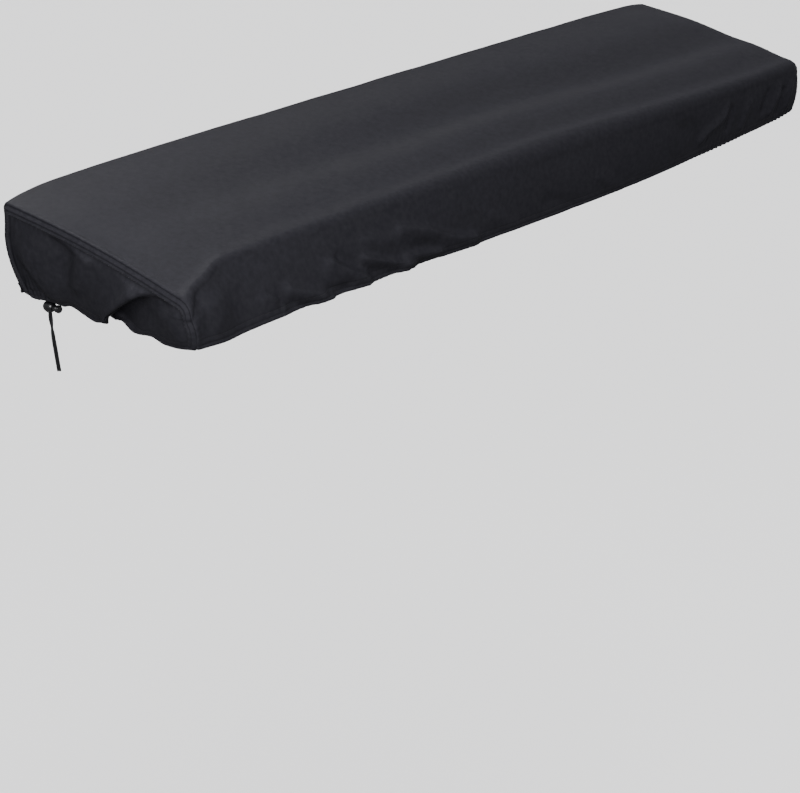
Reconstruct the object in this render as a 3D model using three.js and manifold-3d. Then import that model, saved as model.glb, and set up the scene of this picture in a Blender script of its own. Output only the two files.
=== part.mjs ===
// A fitted cloth cover for a full-size keyboard instrument, as it hangs when it is in use.
// It is sewn from a long wrap panel (back skirt, top and front skirt in one piece) and two end panels.
// A drawcord runs in the hem; its two ends come out at the left end, through a spring cord lock.
// Millimetres, +Z up, front towards -Y, length along X. The origin is in the middle of the top's underside.

import * as THREE from 'three';
import { mergeVertices } from 'three/addons/utils/BufferGeometryUtils.js';
import Module from 'manifold-3d';

const wasm = await Module();
wasm.setup();

// Driving dimensions. Heights in the shape tables are counted from the rear top edge, downwards negative.
const LENGTH = 1320;
const HALF_LENGTH = LENGTH / 2;
const DEPTH = 292;
const HALF_DEPTH = DEPTH / 2;
const TOP_FALL = 56; // how much lower the front of the top lies than its rear
const CLOTH = 2;
const CASING = 3.4; // doubled cloth of the hem, with the cord inside
const CASING_HEIGHT = 12;
const GAP = 0.3; // between neighbouring pieces
const SEAM_BAND = 7; // lapped seam along the edge of an end panel
const SEAM_RISE = 0.8;
const SEAM_STEP = 1; // width over which the lap falls back to the cloth
const END_ROLL = 1.5; // how far the wrap turns down towards the end seam
const END_ROLL_REACH = 14;
const REAR_CORNER_DRAWN = 8; // how far the cord pulls the hem's corners in, along the length
const FRONT_CORNER_DRAWN = 4;
const END_DRAW_REACH = 62; // height above the hem at which the cord's pull fades out
const END_PULL_REACH = 70; // distance from the end at which it fades out along the skirts
const SKIRT_BELLY = 3.5;
const END_BULGE = 3.5;

// The wrap at stations along the length. First its upper edges: where the rear edge and the soft
// front bend lie, how rounded they are, how strongly the top sags over what lies under it, and how far
// it is crowned. Then its rear and front hems.
const EDGES = [
  { x: -660, rearY: 144, rearSoft: 15, bendY: -143, soft: 21, sag: 0, crown: 6 },
  { x: -635, rearY: 147, rearSoft: 10, bendY: -131, soft: 16, sag: 0.1, crown: 5.5 },
  { x: -605, rearY: 148, rearSoft: 7.5, bendY: -115, soft: 12, sag: 0.15, crown: 5 },
  { x: -570, rearY: 148, rearSoft: 7.5, bendY: -100, soft: 10, sag: 0.2, crown: 4 },
  { x: -510, rearY: 148, rearSoft: 7.5, bendY: -95, soft: 10, sag: 0.3, crown: 2.5 },
  { x: -350, rearY: 148, rearSoft: 7.5, bendY: -100, soft: 13, sag: 0.5, crown: 0.8 },
  { x: -150, rearY: 148, rearSoft: 7.5, bendY: -107, soft: 16, sag: 0.8, crown: 0 },
  { x: 50, rearY: 148, rearSoft: 7.5, bendY: -114, soft: 20, sag: 1, crown: 0 },
  { x: 250, rearY: 148, rearSoft: 7.5, bendY: -120, soft: 22, sag: 1, crown: 0 },
  { x: 450, rearY: 148, rearSoft: 7.5, bendY: -127, soft: 22, sag: 1, crown: 1 },
  { x: 610, rearY: 147, rearSoft: 9, bendY: -136, soft: 22, sag: 0.7, crown: 2.5 },
  { x: 660, rearY: 144, rearSoft: 15, bendY: -147, soft: 20, sag: 0.25, crown: 3.5 },
];

const HEMS = [
  { x: -660, rearHemY: 133, rearHemZ: -110, hemY: -143, hemZ: -105.5 },
  { x: -635, rearHemY: 133, rearHemZ: -113, hemY: -140, hemZ: -108 },
  { x: -605, rearHemY: 134, rearHemZ: -117, hemY: -134, hemZ: -112 },
  { x: -570, rearHemY: 134, rearHemZ: -120, hemY: -130, hemZ: -116 },
  { x: -510, rearHemY: 133, rearHemZ: -123, hemY: -125, hemZ: -121 },
  { x: -350, rearHemY: 133, rearHemZ: -127, hemY: -122, hemZ: -130 },
  { x: -150, rearHemY: 134, rearHemZ: -130, hemY: -123, hemZ: -137 },
  { x: 50, rearHemY: 134, rearHemZ: -131, hemY: -125, hemZ: -144 },
  { x: 250, rearHemY: 134, rearHemZ: -131, hemY: -129, hemZ: -147 },
  { x: 450, rearHemY: 133, rearHemZ: -130, hemY: -132, hemZ: -144 },
  { x: 610, rearHemY: 133, rearHemZ: -126, hemY: -136, hemZ: -138 },
  { x: 660, rearHemY: 132, rearHemZ: -122, hemY: -140, hemZ: -127 },
];

// Waves of the top between its rear edge (0) and the front bend (1), as a full sag gives them.
const TOP_WAVES = [
  { across: 0, lift: 0 },
  { across: 0.31, lift: 2.6 },
  { across: 0.56, lift: -2.6 },
  { across: 0.77, lift: 1.9 },
  { across: 0.92, lift: -1.2 },
  { across: 1, lift: 0 },
];

// The hem of each end panel, from rear to front: its height and how far the cord draws it in.
const LEFT_HEM = [
  { y: 133, z: -110, drawn: 8 },
  { y: 124, z: -113.5, drawn: 10 },
  { y: 115, z: -114.5, drawn: 11 },
  { y: 102, z: -113, drawn: 12 },
  { y: 87, z: -113, drawn: 13 },
  { y: 68, z: -113, drawn: 12 },
  { y: 57, z: -109, drawn: 11 },
  { y: 46, z: -109.5, drawn: 10 },
  { y: 35, z: -111.5, drawn: 9 },
  { y: 15, z: -114, drawn: 7 },
  { y: 4, z: -113.3, drawn: 7 },
  { y: -3, z: -112, drawn: 8 },
  { y: -9, z: -111, drawn: 18 },
  { y: -16, z: -111.4, drawn: 18 },
  { y: -24, z: -111.6, drawn: 15 },
  { y: -36, z: -113.4, drawn: 12 },
  { y: -47, z: -113.5, drawn: 10 },
  { y: -69, z: -111, drawn: 10 },
  { y: -78, z: -113.6, drawn: 10 },
  { y: -88, z: -115.3, drawn: 9 },
  { y: -102, z: -114.2, drawn: 8 },
  { y: -118, z: -112, drawn: 6 },
  { y: -143, z: -105.5, drawn: 4 },
];

const RIGHT_HEM = [
  { y: 132, z: -122, drawn: 8 },
  { y: 106, z: -124, drawn: 8 },
  { y: 84, z: -121, drawn: 14 },
  { y: 58, z: -125, drawn: 9 },
  { y: 30, z: -124, drawn: 10 },
  { y: 8, z: -121, drawn: 16 },
  { y: -20, z: -126, drawn: 9 },
  { y: -48, z: -125, drawn: 10 },
  { y: -70, z: -122, drawn: 15 },
  { y: -96, z: -126, drawn: 8 },
  { y: -140, z: -127, drawn: 4 },
];

// Folds are soft ridges (out positive) or troughs (out negative) along a path of cloth. A path's points
// give the place along the panel and the height; the two widths tell how far the fold spreads towards
// greater and towards smaller places.
const LEFT_FOLDS = [
  { out: -3, plusWidth: 13, minusWidth: 6, path: [[54, -18], [28, -26], [22, -35], [28, -50], [40, -72]] },
  { out: 2, plusWidth: 9, minusWidth: 14, path: [[6, -36], [8, -54]] },
  { out: 2.5, plusWidth: 20, minusWidth: 16, path: [[86, -36], [70, -64]] },
  { out: -2, plusWidth: 12, minusWidth: 8, path: [[-56, -46], [-40, -68], [-16, -86], [-4, -102]] },
  { out: 5.5, plusWidth: 17, minusWidth: 8, path: [[-92, -55], [-56, -72], [-27, -91], [-10, -103]] },
  { out: -5.5, plusWidth: 8, minusWidth: 22, path: [[-92, -66], [-58, -84], [-28, -101]] },
  { out: 2.5, plusWidth: 18, minusWidth: 16, path: [[-110, -70], [-116, -102]] },
  { out: -3.5, plusWidth: 7, minusWidth: 8, path: [[112, -73], [101, -90], [90, -106]] },
  { out: 2, plusWidth: 7, minusWidth: 7, path: [[74, -84], [80, -108]] },
];

const RIGHT_FOLDS = [
  { out: -5, plusWidth: 10, minusWidth: 10, path: [[92, -52], [84, -122]] },
  { out: 4, plusWidth: 12, minusWidth: 12, path: [[62, -60], [56, -124]] },
  { out: -5, plusWidth: 11, minusWidth: 11, path: [[18, -42], [8, -120]] },
  { out: 4, plusWidth: 13, minusWidth: 13, path: [[-18, -58], [-22, -124]] },
  { out: -5, plusWidth: 10, minusWidth: 10, path: [[-64, -54], [-70, -121]] },
  { out: 3, plusWidth: 12, minusWidth: 12, path: [[-96, -70], [-98, -125]] },
];

const FRONT_FOLDS = [
  { out: 3.5, plusWidth: 22, minusWidth: 22, path: [[-622, -76], [-630, -112]] },
  { out: -3, plusWidth: 12, minusWidth: 12, path: [[-560, -96], [-486, -116]] },
  { out: 3.5, plusWidth: 14, minusWidth: 14, path: [[-430, -84], [-330, -104]] },
  { out: -3.5, plusWidth: 13, minusWidth: 13, path: [[-400, -112], [-350, -124]] },
  { out: 3, plusWidth: 14, minusWidth: 14, path: [[-250, -92], [-150, -118]] },
  { out: -2.5, plusWidth: 18, minusWidth: 18, path: [[300, -112], [350, -142]] },
  { out: 3, plusWidth: 14, minusWidth: 14, path: [[470, -92], [430, -138]] },
  { out: -3, plusWidth: 12, minusWidth: 12, path: [[540, -84], [500, -136]] },
  { out: 3, plusWidth: 12, minusWidth: 12, path: [[585, -80], [560, -134]] },
  { out: -3, plusWidth: 10, minusWidth: 10, path: [[625, -78], [612, -132]] },
];

const REAR_FOLDS = [
  { out: -3.5, plusWidth: 18, minusWidth: 18, path: [[-560, -70], [-590, -118]] },
  { out: 3, plusWidth: 22, minusWidth: 22, path: [[-470, -84], [-430, -124]] },
  { out: -3, plusWidth: 20, minusWidth: 20, path: [[-250, -90], [-180, -128]] },
  { out: 3, plusWidth: 22, minusWidth: 22, path: [[40, -94], [110, -130]] },
  { out: -3, plusWidth: 20, minusWidth: 20, path: [[330, -90], [280, -130]] },
  { out: 3.5, plusWidth: 18, minusWidth: 18, path: [[560, -74], [590, -124]] },
];

// The cord lock: an egg-shaped body with a spring plunger that slides in along the hem.
const LOCK_CENTRE = { x: -640, y: 101, z: -122.7 };
const LOCK_HALF_LENGTH = 8.2;
const LOCK_RADIUS = 6.8;
const LOCK_BORE_END = 6;
const PLUNGER_RADIUS = 3.7;
const PLUNGER_INNER_END = 2.7;
const PLUNGER_HEAD_RADIUS = 4.4;
const PLUNGER_HEAD_START = -12.2;
const PLUNGER_TIP = -16.8;
const PLUNGER_TRAVEL = 3;
const EDGE_ROUNDING = 1;

// The drawcord's two ends, as one route of their midline with half their distance apart, from the
// inner side of the hem, through the lock and down. Heights here are from the lock's centre.
const CORD_DIAMETER = 2.3;
const CORD_ROUTE = [
  { x: -3, y: 0, z: 15.5, apartX: 0, apartY: -4.4 },
  { x: -1.9, y: 0, z: 13, apartX: 0.45, apartY: -3.5 },
  { x: -0.8, y: 0, z: 10.6, apartX: 0.95, apartY: -1.9 },
  { x: -0.1, y: 0, z: 8.4, apartX: 1.3, apartY: -0.4 },
  { x: 0, y: 0, z: 4, apartX: 1.32, apartY: 0 },
  { x: 0, y: 0, z: -4, apartX: 1.32, apartY: 0 },
  { x: 0, y: 0, z: -7.6, apartX: 1.32, apartY: 0 },
  { x: 0, y: 0, z: -11, apartX: 1.29, apartY: -0.34 },
  { x: 0.2, y: -0.1, z: -16, apartX: 0.77, apartY: -1.09 },
  { x: 0.3, y: -0.3, z: -21, apartX: -0.17, apartY: -1.32 },
  { x: 0.4, y: -0.5, z: -26, apartX: -0.97, apartY: -0.91 },
  { x: 0.6, y: -0.8, z: -32, apartX: -1.31, apartY: -0.21 },
  { x: 0.9, y: -1.2, z: -39, apartX: -1.28, apartY: 0.35 },
  { x: 1.3, y: -1.7, z: -47, apartX: -1.15, apartY: 0.66 },
  { x: 1.8, y: -2.3, z: -56, apartX: -1.03, apartY: 0.85 },
  { x: 2.3, y: -3, z: -66, apartX: -0.91, apartY: 0.97 },
  { x: 2.9, y: -3.8, z: -77.5, apartX: -0.82, apartY: 1.04 },
];
const CORD_SLOT_HALF_LENGTH = 2.8;
const CORD_SLOT_HALF_WIDTH = 1.5;

// How finely each piece is cut into facets.
const REAR_SKIRT_ROWS = 4;
const REAR_BEND_ROWS = 4;
const TOP_ROWS = 22;
const FRONT_BEND_ROWS = 6;
const FRONT_SKIRT_ROWS = 5;
const MIDDLE_STATIONS = 26;
const END_STATION_STEPS = [0, CLOTH, 12, 26, 44, 66, 92];
const END_PANEL_ROWS = 9;
const LATHE_STEPS = 20;
const CORD_SIDES = 8;
const CORD_STEPS = 22;

const CLOTH_COLOUR = 0x2b2c31;
const CORD_COLOUR = 0x17171a;
const LOCK_COLOUR = 0x1b1b1e;

// A value of one column of a table at a place between its rows, on a smooth curve through the rows.
function between(table, place, column, at) {
  const rising = table[1][place] > table[0][place];
  const ordered = rising ? table : [...table].reverse();
  const last = ordered.length - 1;
  const clamped = Math.min(Math.max(at, ordered[0][place]), ordered[last][place]);
  let low = 0;
  while (low < last - 1 && clamped > ordered[low + 1][place]) low += 1;
  const slope = (row) => {
    const before = ordered[Math.max(row - 1, 0)];
    const after = ordered[Math.min(row + 1, last)];
    return (after[column] - before[column]) / (after[place] - before[place]);
  };
  const span = ordered[low + 1][place] - ordered[low][place];
  const t = (clamped - ordered[low][place]) / span;
  const rise = ordered[low + 1][column] - ordered[low][column];
  const startPull = slope(low) * span - rise;
  const endPull = rise - slope(low + 1) * span;
  return ordered[low][column] + t * rise + t * (1 - t) * ((1 - t) * startPull + t * endPull);
}

// The sum of the folds at one spot: each falls off like a bell with the distance from its path.
function foldHeight(folds, along, z) {
  let height = 0;
  for (const fold of folds) {
    let nearest = Infinity;
    let width = fold.plusWidth;
    for (let leg = 1; leg < fold.path.length; leg += 1) {
      const [fromAlong, fromZ] = fold.path[leg - 1];
      const runAlong = fold.path[leg][0] - fromAlong;
      const runZ = fold.path[leg][1] - fromZ;
      const run = Math.hypot(runAlong, runZ);
      const share = ((along - fromAlong) * runAlong + (z - fromZ) * runZ) / run ** 2;
      const held = Math.min(Math.max(share, 0), 1);
      const away = Math.hypot(along - fromAlong - held * runAlong, z - fromZ - held * runZ);
      if (away >= nearest) continue;
      nearest = away;
      const side = (runAlong * (z - fromZ) - runZ * (along - fromAlong)) / (run * Math.max(away, 1e-6));
      width = mix(fold.minusWidth, fold.plusWidth, (1 + side) / 2);
    }
    height += fold.out * Math.exp(-((nearest / width) ** 2));
  }
  return height;
}

function mix(from, to, share) {
  return from + (to - from) * share;
}

function fade(share) {
  const held = Math.min(Math.max(share, 0), 1);
  return held * held * (3 - 2 * held);
}

function topPlane(y) {
  return (-TOP_FALL * (HALF_DEPTH - y)) / DEPTH;
}

function sectionAt(x) {
  const section = {};
  for (const table of [EDGES, HEMS]) {
    for (const column of Object.keys(table[0])) {
      section[column] = column === 'x' ? x : between(table, 'x', column, x);
    }
  }
  return section;
}

// Shares along a skirt of a given length, from the hem up: the casing, its step, then even rows.
function skirtShares(length, rows) {
  const shares = [0, CASING_HEIGHT / length, (CASING_HEIGHT + 2) / length];
  const start = shares[2];
  for (let row = 1; row <= rows; row += 1) {
    shares.push(mix(start, 1, row / rows));
  }
  return shares;
}

// A skirt's points from its hem up to where the bend begins, slightly bellied outwards.
function skirtPoints(hem, bendStart, rows, folds, x, outwards) {
  const length = Math.hypot(bendStart.y - hem.y, bendStart.z - hem.z);
  return skirtShares(length, rows).map((share) => {
    const z = mix(hem.z, bendStart.z, share);
    const belly = SKIRT_BELLY * 4 * share * (1 - share);
    const folded = foldHeight(folds, x, z) * fade((1 - share) * 3);
    return {
      y: mix(hem.y, bendStart.y, share) + outwards * (belly + folded),
      z,
      above: share * length,
      thick: share * length <= CASING_HEIGHT + 0.01 ? CASING : CLOTH,
    };
  });
}

// Points of a soft corner, on the curve that touches both of its sides.
function cornerPoints(start, corner, end, rows) {
  const points = [];
  for (let row = 1; row < rows; row += 1) {
    const t = row / rows;
    points.push({
      y: mix(mix(start.y, corner.y, t), mix(corner.y, end.y, t), t),
      z: mix(mix(start.z, corner.z, t), mix(corner.z, end.z, t), t),
      above: END_DRAW_REACH,
      thick: CLOTH,
    });
  }
  return points;
}

function stepTowards(from, to, distance) {
  const share = distance / Math.hypot(to.y - from.y, to.z - from.z);
  return { y: mix(from.y, to.y, share), z: mix(from.z, to.z, share) };
}

function topRelief(section, across) {
  const sagged = section.sag * between(TOP_WAVES, 'across', 'lift', across);
  return sagged + section.crown * Math.sin(Math.PI * across);
}

// The outer skin of the wrap in one section, from the rear hem over the top to the front hem.
function wrapProfile(x) {
  const section = sectionAt(x);
  const rearCorner = { y: section.rearY, z: topPlane(section.rearY) };
  const frontCorner = { y: section.bendY, z: topPlane(section.bendY) };
  const rearHem = { y: section.rearHemY, z: section.rearHemZ };
  const frontHem = { y: section.hemY, z: section.hemZ };
  const rearLow = stepTowards(rearCorner, rearHem, section.rearSoft);
  const rearTop = stepTowards(rearCorner, frontCorner, section.rearSoft);
  const frontTop = stepTowards(frontCorner, rearCorner, section.soft);
  const frontLow = stepTowards(frontCorner, frontHem, section.soft);
  const points = skirtPoints(rearHem, rearLow, REAR_SKIRT_ROWS, REAR_FOLDS, x, 1);
  points.push(...cornerPoints(rearLow, rearCorner, rearTop, REAR_BEND_ROWS));
  for (let row = 0; row <= TOP_ROWS; row += 1) {
    const across = row / TOP_ROWS;
    points.push({
      y: mix(rearTop.y, frontTop.y, across),
      z: mix(rearTop.z, frontTop.z, across) + topRelief(section, across),
      above: END_DRAW_REACH,
      thick: CLOTH,
    });
  }
  points.push(...cornerPoints(frontTop, frontCorner, frontLow, FRONT_BEND_ROWS));
  points.push(...skirtPoints(frontHem, frontLow, FRONT_SKIRT_ROWS, FRONT_FOLDS, x, -1).reverse());
  return points;
}

// Outward directions in the section's own plane, from each point's two neighbours.
function outwardDirections(points) {
  return points.map((point, index) => {
    const before = points[Math.max(index - 1, 0)];
    const after = points[Math.min(index + 1, points.length - 1)];
    const length = Math.hypot(after.y - before.y, after.z - before.z);
    return { y: (after.z - before.z) / length, z: (before.y - after.y) / length };
  });
}

// One section of the wrap as it lies: turned down at the end seams and drawn in at the hem's ends.
// "inset" is the depth below the outer skin.
function wrapSection(x, inset) {
  const profile = wrapProfile(x);
  const directions = outwardDirections(profile);
  const fromEnd = HALF_LENGTH - Math.abs(x);
  const roll = END_ROLL * Math.max(0, 1 - fromEnd / END_ROLL_REACH) ** 2;
  const pull = fade(1 - fromEnd / END_PULL_REACH);
  return profile.map((point, index) => {
    const skirtPull = Math.max(0, 1 - point.above / END_DRAW_REACH) ** 2;
    const cornerDrawn = point.y > 0 ? REAR_CORNER_DRAWN : FRONT_CORNER_DRAWN;
    const drawn = cornerDrawn * pull * skirtPull;
    const depth = inset(point) + roll;
    return new THREE.Vector3(
      x - Math.sign(x) * drawn,
      point.y - directions[index].y * depth,
      point.z - directions[index].z * depth,
    );
  });
}

// A closed sheet between an outer and an inner grid of points. "crossed" cuts each facet along its
// other diagonal.
function sheetGeometry(outer, inner, crossed) {
  const columns = outer.length;
  const rows = outer[0].length;
  const positions = [...outer.flat(), ...inner.flat()].flatMap((point) => [point.x, point.y, point.z]);
  const index = [];
  const at = (column, row, layer) => layer * columns * rows + column * rows + row;
  const quad = (a, b, c, d) => {
    if (crossed) index.push(a, b, d, b, c, d);
    else index.push(a, b, c, a, c, d);
  };
  const lastColumn = columns - 1;
  const lastRow = rows - 1;
  for (let column = 0; column < lastColumn; column += 1) {
    const next = column + 1;
    for (let row = 0; row < lastRow; row += 1) {
      const below = row + 1;
      quad(at(column, row, 0), at(next, row, 0), at(next, below, 0), at(column, below, 0));
      quad(at(column, row, 1), at(column, below, 1), at(next, below, 1), at(next, row, 1));
    }
    quad(at(column, 0, 1), at(next, 0, 1), at(next, 0, 0), at(column, 0, 0));
    quad(at(column, lastRow, 0), at(next, lastRow, 0), at(next, lastRow, 1), at(column, lastRow, 1));
  }
  for (let row = 0; row < lastRow; row += 1) {
    const below = row + 1;
    quad(at(0, row, 0), at(0, below, 0), at(0, below, 1), at(0, row, 1));
    quad(at(lastColumn, row, 1), at(lastColumn, below, 1), at(lastColumn, below, 0), at(lastColumn, row, 0));
  }
  return closedGeometry(positions, index);
}

// Merges shared corners, drops empty triangles and turns the faces outwards.
function closedGeometry(positions, index) {
  const loose = new THREE.BufferGeometry();
  loose.setAttribute('position', new THREE.Float32BufferAttribute(positions, 3));
  loose.setIndex(index);
  const merged = mergeVertices(loose, 1e-4);
  const corners = merged.getAttribute('position');
  const kept = [];
  let volume = 0;
  const a = new THREE.Vector3();
  const b = new THREE.Vector3();
  const c = new THREE.Vector3();
  for (let start = 0; start < merged.index.count; start += 3) {
    const triangle = [0, 1, 2].map((corner) => merged.index.getX(start + corner));
    if (new Set(triangle).size < 3) continue;
    kept.push(triangle);
    [a, b, c].forEach((point, corner) => point.fromBufferAttribute(corners, triangle[corner]));
    volume += a.dot(b.cross(c));
  }
  merged.setIndex(kept.flatMap((triangle) => (volume > 0 ? triangle : [...triangle].reverse())));
  merged.computeVertexNormals();
  return merged;
}

function stations() {
  const steps = END_STATION_STEPS;
  const innermost = HALF_LENGTH - steps[steps.length - 1];
  const places = steps.map((step) => -HALF_LENGTH + step);
  for (let step = 1; step < MIDDLE_STATIONS; step += 1) {
    places.push(mix(-innermost, innermost, step / MIDDLE_STATIONS));
  }
  places.push(...[...steps].reverse().map((step) => HALF_LENGTH - step));
  return places;
}

function wrapPanel() {
  const places = stations();
  const outer = places.map((x) => wrapSection(x, () => 0));
  const inner = places.map((x) => wrapSection(x, (point) => point.thick));
  return sheetGeometry(outer, inner, false);
}

// Where an end panel meets the wrap: just inside the wrap's own end, a cloth's thickness and a gap in.
function seamLine(side, depth) {
  return wrapSection(side * (HALF_LENGTH - depth), (point) => point.thick + GAP);
}

// Shares down an end panel's column, from the seam to the hem: the lap, its step, even rows, the casing.
function columnShares(length) {
  const lap = Math.min(SEAM_BAND / length, 0.16);
  const lapEnd = Math.min((SEAM_BAND + SEAM_STEP) / length, 0.2);
  const casingTop = Math.max(1 - CASING_HEIGHT / length, 0.6);
  const casingStep = Math.max(1 - (CASING_HEIGHT + 2) / length, 0.54);
  const shares = [0, lap, lapEnd];
  for (let row = 1; row <= END_PANEL_ROWS; row += 1) {
    shares.push(mix(lapEnd, casingStep, row / END_PANEL_ROWS));
  }
  shares.push(casingTop, 1);
  return shares;
}

// Shares along the hem at which the columns of an end panel end: partly by how far along the seam
// they start and partly by how far forward, so that they fan out at the two corners.
function hemShares(seam) {
  const lengths = [0];
  for (let index = 1; index < seam.length; index += 1) {
    lengths.push(lengths[index - 1] + seam[index].distanceTo(seam[index - 1]));
  }
  const whole = lengths[lengths.length - 1];
  const rear = seam[0].y;
  const front = seam[seam.length - 1].y;
  let reached = 0;
  return seam.map((point, index) => {
    const forward = (rear - point.y) / (rear - front);
    reached = Math.max(reached, 0.62 * forward + 0.38 * (lengths[index] / whole));
    return Math.min(reached, 1);
  });
}

function endPanel(side, hem, folds) {
  const seam = seamLine(side, 0);
  const seamInside = seamLine(side, CLOTH);
  const shares = hemShares(seam);
  const rear = seam[0];
  const front = seam[seam.length - 1];
  const outer = [];
  const inner = [];
  seam.forEach((start, index) => {
    const y = mix(rear.y, front.y, shares[index]);
    const foot = new THREE.Vector3(
      side * (HALF_LENGTH - between(hem, 'y', 'drawn', y)),
      y,
      between(hem, 'y', 'z', y),
    );
    const corner = index === 0 || index === seam.length - 1;
    const length = start.distanceTo(foot);
    const outerColumn = [];
    const innerColumn = [];
    columnShares(length).forEach((share, row) => {
      if (corner) {
        outerColumn.push(start.clone());
        innerColumn.push(seamInside[index].clone());
        return;
      }
      const spot = start.clone().lerp(foot, share);
      spot.x = mix(start.x, foot.x, share ** 2);
      const fromSeam = share * length;
      const bulge = END_BULGE * Math.sin(Math.PI * share) * fade((HALF_DEPTH - Math.abs(spot.y)) / 45);
      const held = fade((fromSeam - SEAM_BAND) / 14) * fade((length - fromSeam) / 16);
      const folded = foldHeight(folds, spot.y, spot.z) * held * fade(length / 40);
      const lap = row < 2 ? SEAM_RISE * fade(length / 20) : 0;
      spot.x += side * (bulge + folded + lap);
      outerColumn.push(spot);
      const toHem = (1 - share) * length;
      const thick = toHem <= CASING_HEIGHT + 0.01 ? CASING : CLOTH;
      const behind = spot.clone();
      behind.x -= side * mix(CLOTH, thick, fade(length / 30));
      innerColumn.push(row === 0 ? seamInside[index].clone() : behind);
    });
    outer.push(outerColumn);
    inner.push(innerColumn);
  });
  return sheetGeometry(outer, inner, side < 0);
}

function asManifold(geometry) {
  const bare = geometry.clone();
  bare.deleteAttribute('normal');
  bare.deleteAttribute('uv');
  const merged = mergeVertices(bare, 1e-4);
  const vertProperties = Float32Array.from(merged.getAttribute('position').array);
  const triVerts = Uint32Array.from(merged.index.array);
  return new wasm.Manifold(new wasm.Mesh({ numProp: 3, vertProperties, triVerts }));
}

function fromManifold(solid) {
  const mesh = solid.getMesh();
  const geometry = new THREE.BufferGeometry();
  geometry.setAttribute('position', new THREE.Float32BufferAttribute(mesh.vertProperties, 3));
  geometry.setIndex([...mesh.triVerts]);
  geometry.computeVertexNormals();
  return geometry;
}

// A vertical cut with round ends, through which the two cords pass side by side.
function cordSlot(fromY, toY) {
  const roundness = Math.min(CORD_SLOT_HALF_WIDTH, (toY - fromY) / 2) - 0.01;
  const outline = new THREE.Shape();
  const half = CORD_SLOT_HALF_LENGTH;
  outline.moveTo(-half + roundness, fromY);
  outline.lineTo(half - roundness, fromY);
  outline.absarc(half - roundness, fromY + roundness, roundness, -Math.PI / 2, 0);
  outline.absarc(half - roundness, toY - roundness, roundness, 0, Math.PI / 2);
  outline.lineTo(-half + roundness, toY);
  outline.absarc(-half + roundness, toY - roundness, roundness, Math.PI / 2, Math.PI);
  outline.absarc(-half + roundness, fromY + roundness, roundness, Math.PI, 1.5 * Math.PI);
  const depth = 3 * LOCK_RADIUS;
  const cut = new THREE.ExtrudeGeometry(outline, { depth, bevelEnabled: false, curveSegments: 3 });
  cut.translate(0, 0, -depth / 2);
  return cut;
}

function lockBody() {
  const boreRadius = PLUNGER_RADIUS + GAP;
  const mouth = -Math.acos(boreRadius / LOCK_RADIUS);
  const profile = [new THREE.Vector2(0, LOCK_BORE_END), new THREE.Vector2(boreRadius, LOCK_BORE_END)];
  const steps = 10;
  for (let step = 0; step <= steps; step += 1) {
    const angle = mix(mouth, Math.PI / 2, step / steps);
    const radius = step === steps ? 0 : LOCK_RADIUS * Math.cos(angle);
    profile.push(new THREE.Vector2(radius, LOCK_HALF_LENGTH * Math.sin(angle)));
  }
  const body = asManifold(outwards(new THREE.LatheGeometry(profile, LATHE_STEPS)));
  const slot = asManifold(cordSlot(-CORD_SLOT_HALF_WIDTH, CORD_SLOT_HALF_WIDTH));
  return fromManifold(body.subtract(slot));
}

function plunger() {
  const profile = [
    new THREE.Vector2(0, PLUNGER_TIP),
    new THREE.Vector2(PLUNGER_HEAD_RADIUS - EDGE_ROUNDING, PLUNGER_TIP),
    new THREE.Vector2(PLUNGER_HEAD_RADIUS, PLUNGER_TIP + EDGE_ROUNDING),
    new THREE.Vector2(PLUNGER_HEAD_RADIUS, PLUNGER_HEAD_START - EDGE_ROUNDING),
    new THREE.Vector2(PLUNGER_HEAD_RADIUS - EDGE_ROUNDING / 2, PLUNGER_HEAD_START),
    new THREE.Vector2(PLUNGER_RADIUS, PLUNGER_HEAD_START),
    new THREE.Vector2(PLUNGER_RADIUS, PLUNGER_INNER_END),
    new THREE.Vector2(0, PLUNGER_INNER_END),
  ];
  const barrel = asManifold(outwards(new THREE.LatheGeometry(profile, LATHE_STEPS)));
  const window = cordSlot(-CORD_SLOT_HALF_WIDTH - PLUNGER_TRAVEL, CORD_SLOT_HALF_WIDTH);
  return fromManifold(barrel.subtract(asManifold(window)));
}

// A turned shape with its shared corners merged and its faces outwards.
function outwards(geometry) {
  const positions = [...geometry.getAttribute('position').array];
  return closedGeometry(positions, [...geometry.index.array]);
}

function cordEnd(side) {
  const points = CORD_ROUTE.map(
    (row) => new THREE.Vector3(row.x + side * row.apartX, row.y + side * row.apartY, row.z),
  );
  const outline = new THREE.Shape();
  for (let corner = 0; corner < CORD_SIDES; corner += 1) {
    const angle = (2 * Math.PI * corner) / CORD_SIDES;
    const radius = CORD_DIAMETER / 2;
    const place = [radius * Math.cos(angle), radius * Math.sin(angle)];
    if (corner === 0) outline.moveTo(...place);
    else outline.lineTo(...place);
  }
  outline.closePath();
  return new THREE.ExtrudeGeometry(outline, {
    steps: CORD_STEPS,
    extrudePath: new THREE.CatmullRomCurve3(points, false, 'centripetal'),
    bevelEnabled: false,
  });
}

const clothMaterial = () =>
  new THREE.MeshStandardMaterial({ color: CLOTH_COLOUR, roughness: 0.85, metalness: 0 });
const cordMaterial = () =>
  new THREE.MeshStandardMaterial({ color: CORD_COLOUR, roughness: 0.9, metalness: 0 });
const lockMaterial = () =>
  new THREE.MeshStandardMaterial({ color: LOCK_COLOUR, roughness: 0.4, metalness: 0 });

function piece(name, geometry, material) {
  const mesh = new THREE.Mesh(geometry, material);
  mesh.name = name;
  return mesh;
}

// The underside of the top in the middle of the length and depth, below the rear top edge.
function undersideAtMiddle() {
  const profile = wrapProfile(0).filter((point) => point.z > 2 * topPlane(0));
  const behind = profile.filter((point) => point.y >= 0).pop();
  const ahead = profile.find((point) => point.y < 0);
  const height = mix(behind.z, ahead.z, behind.y / (behind.y - ahead.y));
  return height - CLOTH;
}

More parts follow.
